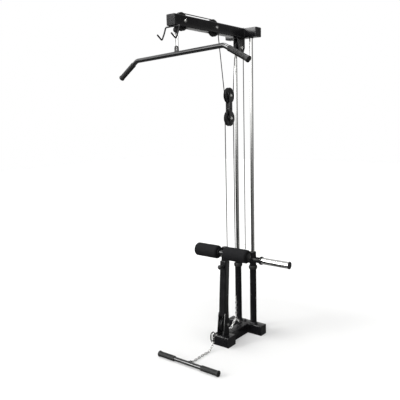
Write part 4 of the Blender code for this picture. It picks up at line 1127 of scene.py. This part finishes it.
def foam_roller(name, node, body, turn, start, end):
    """A foam tube with soft round shoulders, a little uneven as foam is."""
    outer, bore = extent(node).z / 2, 0.0178
    soft, rows = 0.014, 34
    profile = [(bore, start + 0.003), (bore + 0.004, start + 0.0006),
               (bore + 0.010, start + 0.0002)]
    profile += arc((outer - soft, start + soft), soft, -QUARTER, 0, 8)
    straight = end - start - 2 * soft
    profile += [(outer, start + soft + straight * k / rows) for k in range(1, rows)]
    profile += arc((outer - soft, end - soft), soft, 0, QUARTER, 8)
    profile += [(bore + 0.010, end - 0.0002), (bore + 0.004, end - 0.0006), (bore, end - 0.003)]
    bm = lathe(profile, turn, 72, closed=True)
    centre = middle(node)
    for v in bm.verts:
        out = Vector((0, v.co.y - centre.y, v.co.z - centre.z))
        if out.length > bore + 0.012:
            wobble = 0.55 * noise.noise(v.co * 28.0) + 0.45 * noise.noise(v.co * 160.0)
            v.co += out.normalized() * (wobble - 0.5) * 0.0007
    piece(name, bm, "foam", body, [node], sharp=60)


# ---------------------------------------------------------------- low row handle

def make_row_handle():
    carabiner("row_snap_link", "row_carabiner", "row", "XZ")
    half = extent("row_handle").x / 2
    radius = 0.0140
    y, z = low("row_handle").y + radius, middle("handle_grip_left").z
    bm = rod(radius, -half, half, moved((0, y, z)) @ ALONG_X, 40)
    piece("handle_tube", bm, "bar_paint", "row_bar", ["row_handle"])
    tab_half, thickness = 0.014, 0.004
    outline = [(-tab_half, y + radius - 0.003), (tab_half, y + radius - 0.003)]
    outline += arc((0, high("row_handle").y - tab_half), tab_half, 0, math.pi, 8)
    tab = prism(outline, z - thickness, z + thickness, "Z")
    hole = rod(0.006, z - 0.02, z + 0.02, moved((0, y + 0.027, 0)))
    piece("handle_eye", tab, "paint", "row_bar", bevel=0.0010, cuts=[hole])
    edge = y + math.sqrt(radius ** 2 - thickness ** 2)
    for face, height in (("under", z - thickness), ("top", z + thickness)):
        bead = [(-tab_half, edge, height), (tab_half, edge, height)]
        weld(f"weld_handle_{face}", bead, "row_bar", 0.0020)
    for side, sign in SIDES:
        node = f"handle_grip_{side}"
        flange = extent(node).z / 2
        start, end = low("handle_grip_right").x, high("handle_grip_right").x
        grip, bore = 0.0180, radius + 0.0002
        profile = [(0, end - 0.0035), (bore, end - 0.0035), (bore, start), (grip - 0.0010, start),
                   (grip, start + 0.001), (grip, start + 0.004)]
        profile += ribbed(grip, start + 0.005, end - 0.013)
        profile += [(grip, end - 0.011), (flange - 0.001, end - 0.008), (flange, end - 0.0065),
                    (flange, end - 0.002), (flange - 0.0015, end - 0.0003), (flange - 0.004, end),
                    (0.007, end), (0.006, end - 0.001), (0, end - 0.001)]
        mirror = moved((0, y, z)) @ (MIRROR if sign < 0 else Matrix()) @ ALONG_X
        piece(f"{node}_sleeve", lathe(profile, mirror, 40), "rubber", "row_bar", [node])


# ---------------------------------------------------------------- studio

def make_camera():
    """Right of the user, at chest height, looking slightly down."""
    yaw, pitch, roll = math.radians(38.19), math.radians(8.904), math.radians(-1.4165)
    level = Vector((math.cos(yaw), math.sin(yaw), 0))
    ahead = Vector((-math.sin(yaw), math.cos(yaw), 0)) * math.cos(pitch)
    ahead.z = -math.sin(pitch)
    upward = level.cross(ahead)
    right = level * math.cos(roll) + upward * math.sin(roll)
    up = upward * math.cos(roll) - level * math.sin(roll)
    data = bpy.data.cameras.new("camera")
    data.lens = 46.50
    data.sensor_width = 36.0
    obj = bpy.data.objects.new("camera", data)
    turn = Matrix((right, up, -ahead)).transposed().to_4x4()
    obj.matrix_world = moved((2.0610, -3.1527, 1.6083)) @ turn
    bpy.context.scene.collection.objects.link(obj)
    bpy.context.scene.camera = obj


def by_ray(tree, others, camera, output):
    """Show one shader to the camera's own rays, and another to all other rays."""
    own = add_node(tree, "ShaderNodeLightPath").outputs["Is Camera Ray"]
    mix = add_node(tree, "ShaderNodeMixShader", {"Fac": own, 1: others, 2: camera})
    tree.links.new(mix.outputs["Shader"], tree.nodes[output].inputs["Surface"])


FLOOR_GREY = 0.62
# How strongly the floor glows, and the distance from its middle, where that starts and stops rising
FLOOR_GLOW = ((0.20, 0.7), (0.52, 2.4))


def make_floor():
    """White paper under the machine. Its gloss is left out, so the paint doesn't mirror it."""
    bm = bmesh.new()
    bmesh.ops.create_grid(bm, x_segments=1, y_segments=1, size=14.0)
    mesh = bpy.data.meshes.new("floor")
    bm.to_mesh(mesh)
    bm.free()
    mat = bpy.data.materials.new("white_floor")
    mat.use_nodes = True
    tree = mat.node_tree
    shader = tree.nodes["Principled BSDF"]
    plain = {"Base Color": (FLOOR_GREY, FLOOR_GREY, FLOOR_GREY, 1.0), "Roughness": 1.0,
             "Specular IOR Level": 0.0, "Emission Color": (1.0, 1.0, 1.0, 1.0)}
    for socket, value in plain.items():
        shader.inputs[socket].default_value = value
    place = add_node(tree, "ShaderNodeTexCoord").outputs["Object"]
    far = add_node(tree, "ShaderNodeVectorMath", {0: place}, operation="LENGTH")
    (near_glow, near), (far_glow, end) = FLOOR_GLOW
    inputs = {"Value": far.outputs["Value"], "From Min": near, "From Max": end,
              "To Min": near_glow, "To Max": far_glow}
    glow = add_node(tree, "ShaderNodeMapRange", inputs)
    tree.links.new(glow.outputs["Result"], shader.inputs["Emission Strength"])
    clear = add_node(tree, "ShaderNodeBsdfTransparent")
    by_ray(tree, clear.outputs["BSDF"], shader.outputs["BSDF"], "Material Output")
    mesh.materials.append(mat)
    obj = bpy.data.objects.new("floor", mesh)
    bpy.context.scene.collection.objects.link(obj)


# Where the studio is bright, as seen from the machine: direction, the cosines at which the patch
# fades out and reaches full strength, the strength, and the heights over which it fades in
BRIGHT_PATCHES = (
    ((-0.50, 0.85, -0.12), 0.88, 0.965, 0.80, -0.25, -0.17),
    ((0.5745, 0.8033, -0.157), 0.966, 0.988, 0.62, -0.35, -0.29),
    ((-0.54, -0.83, 0.20), 0.93, 0.97, 5.40, -0.02, 0.12),
    ((-0.88, -0.30, 0.12), 0.60, 0.85, 0.85, -0.13, -0.01),
    ((0.30, -0.95, 0.05), 0.50, 0.85, 0.75, -0.09, 0.03),
    ((0.95, -0.30, -0.15), 0.55, 0.80, 0.16, -0.34, -0.20),
    ((0.00, -0.30, 0.95), 0.70, 0.88, 0.35, -1.0, -0.9),
    ((0.00, 0.00, -1.00), 0.50, 0.66, 0.25, 1.0, 0.9),
    ((-0.50, -0.70, 0.51), 0.990, 0.9965, 22.0, -1.0, -0.9),
)
# The rest of it: the heights over which it brightens, and its strength below and above them
SURROUND = (-0.10, 0.12, 0.03, 0.45)
# A side where the surround is dimmer: direction, cosines as above, and the share of light left
DIM_SIDE = ((0.88, 0.40, 0.25), 0.72, 0.87, 0.22)


def make_world():
    """A white backdrop, and round it a dim studio with soft bright patches."""
    world = bpy.data.worlds.new("studio")
    world.use_nodes = True
    tree = world.node_tree
    backdrop = tree.nodes["Background"]
    backdrop.inputs["Color"].default_value = (1.0, 1.0, 1.0, 1.0)
    backdrop.inputs["Strength"].default_value = 1.0
    direction = add_node(tree, "ShaderNodeTexCoord").outputs["Generated"]
    height = add_node(tree, "ShaderNodeSeparateXYZ", {"Vector": direction}).outputs["Z"]

    def ranged(value, start, end, bottom, top):
        inputs = {"Value": value, "From Min": start, "From Max": end,
                  "To Min": bottom, "To Max": top}
        node = add_node(tree, "ShaderNodeMapRange", inputs, interpolation_type="SMOOTHSTEP")
        return node.outputs["Result"]

    def toward(vector):
        inputs = {0: direction, 1: Vector(vector).normalized()}
        node = add_node(tree, "ShaderNodeVectorMath", inputs, operation="DOT_PRODUCT")
        return node.outputs["Value"]

    def combined(operation, first, second):
        node = add_node(tree, "ShaderNodeMath", {0: first, 1: second}, operation=operation)
        return node.outputs["Value"]

    vector, none, full, left = DIM_SIDE
    total = combined("MULTIPLY", ranged(height, *SURROUND),
                     ranged(toward(vector), none, full, 1.0, left))
    for vector, none, full, strength, bottom, top in BRIGHT_PATCHES:
        patch = combined("MULTIPLY", ranged(toward(vector), none, full, 0.0, strength),
                         ranged(height, bottom, top, 0.0, 1.0))
        total = combined("ADD", total, patch)

    inputs = {"Color": (1.0, 1.0, 0.99, 1.0), "Strength": total}
    around = add_node(tree, "ShaderNodeBackground", inputs)
    by_ray(tree, around.outputs["Background"], backdrop.outputs["Background"], "World Output")
    bpy.context.scene.world = world


def make_light():
    """A soft light over the machine."""
    data = bpy.data.lights.new("top", "AREA")
    data.shape = "SQUARE"
    data.size = 1.6
    data.energy = 100
    at, target = Vector((0.2, -0.7, 5.0)), Vector((0, -0.3, 1.0))
    obj = bpy.data.objects.new("top", data)
    obj.location = at
    obj.rotation_euler = (target - at).to_track_quat("-Z", "Y").to_euler()
    bpy.context.scene.collection.objects.link(obj)


make_base()
make_tower()
make_top_frame()
make_brackets()
make_pulleys()
make_float_block()
make_cables()
make_chains()
make_bar()
make_carriage()
make_knee_rollers(*make_upright())
make_row_handle()
make_camera()
make_floor()
make_world()
make_light()
bpy.context.scene.view_settings.view_transform = "Standard"
bpy.context.scene.view_settings.look = "None"
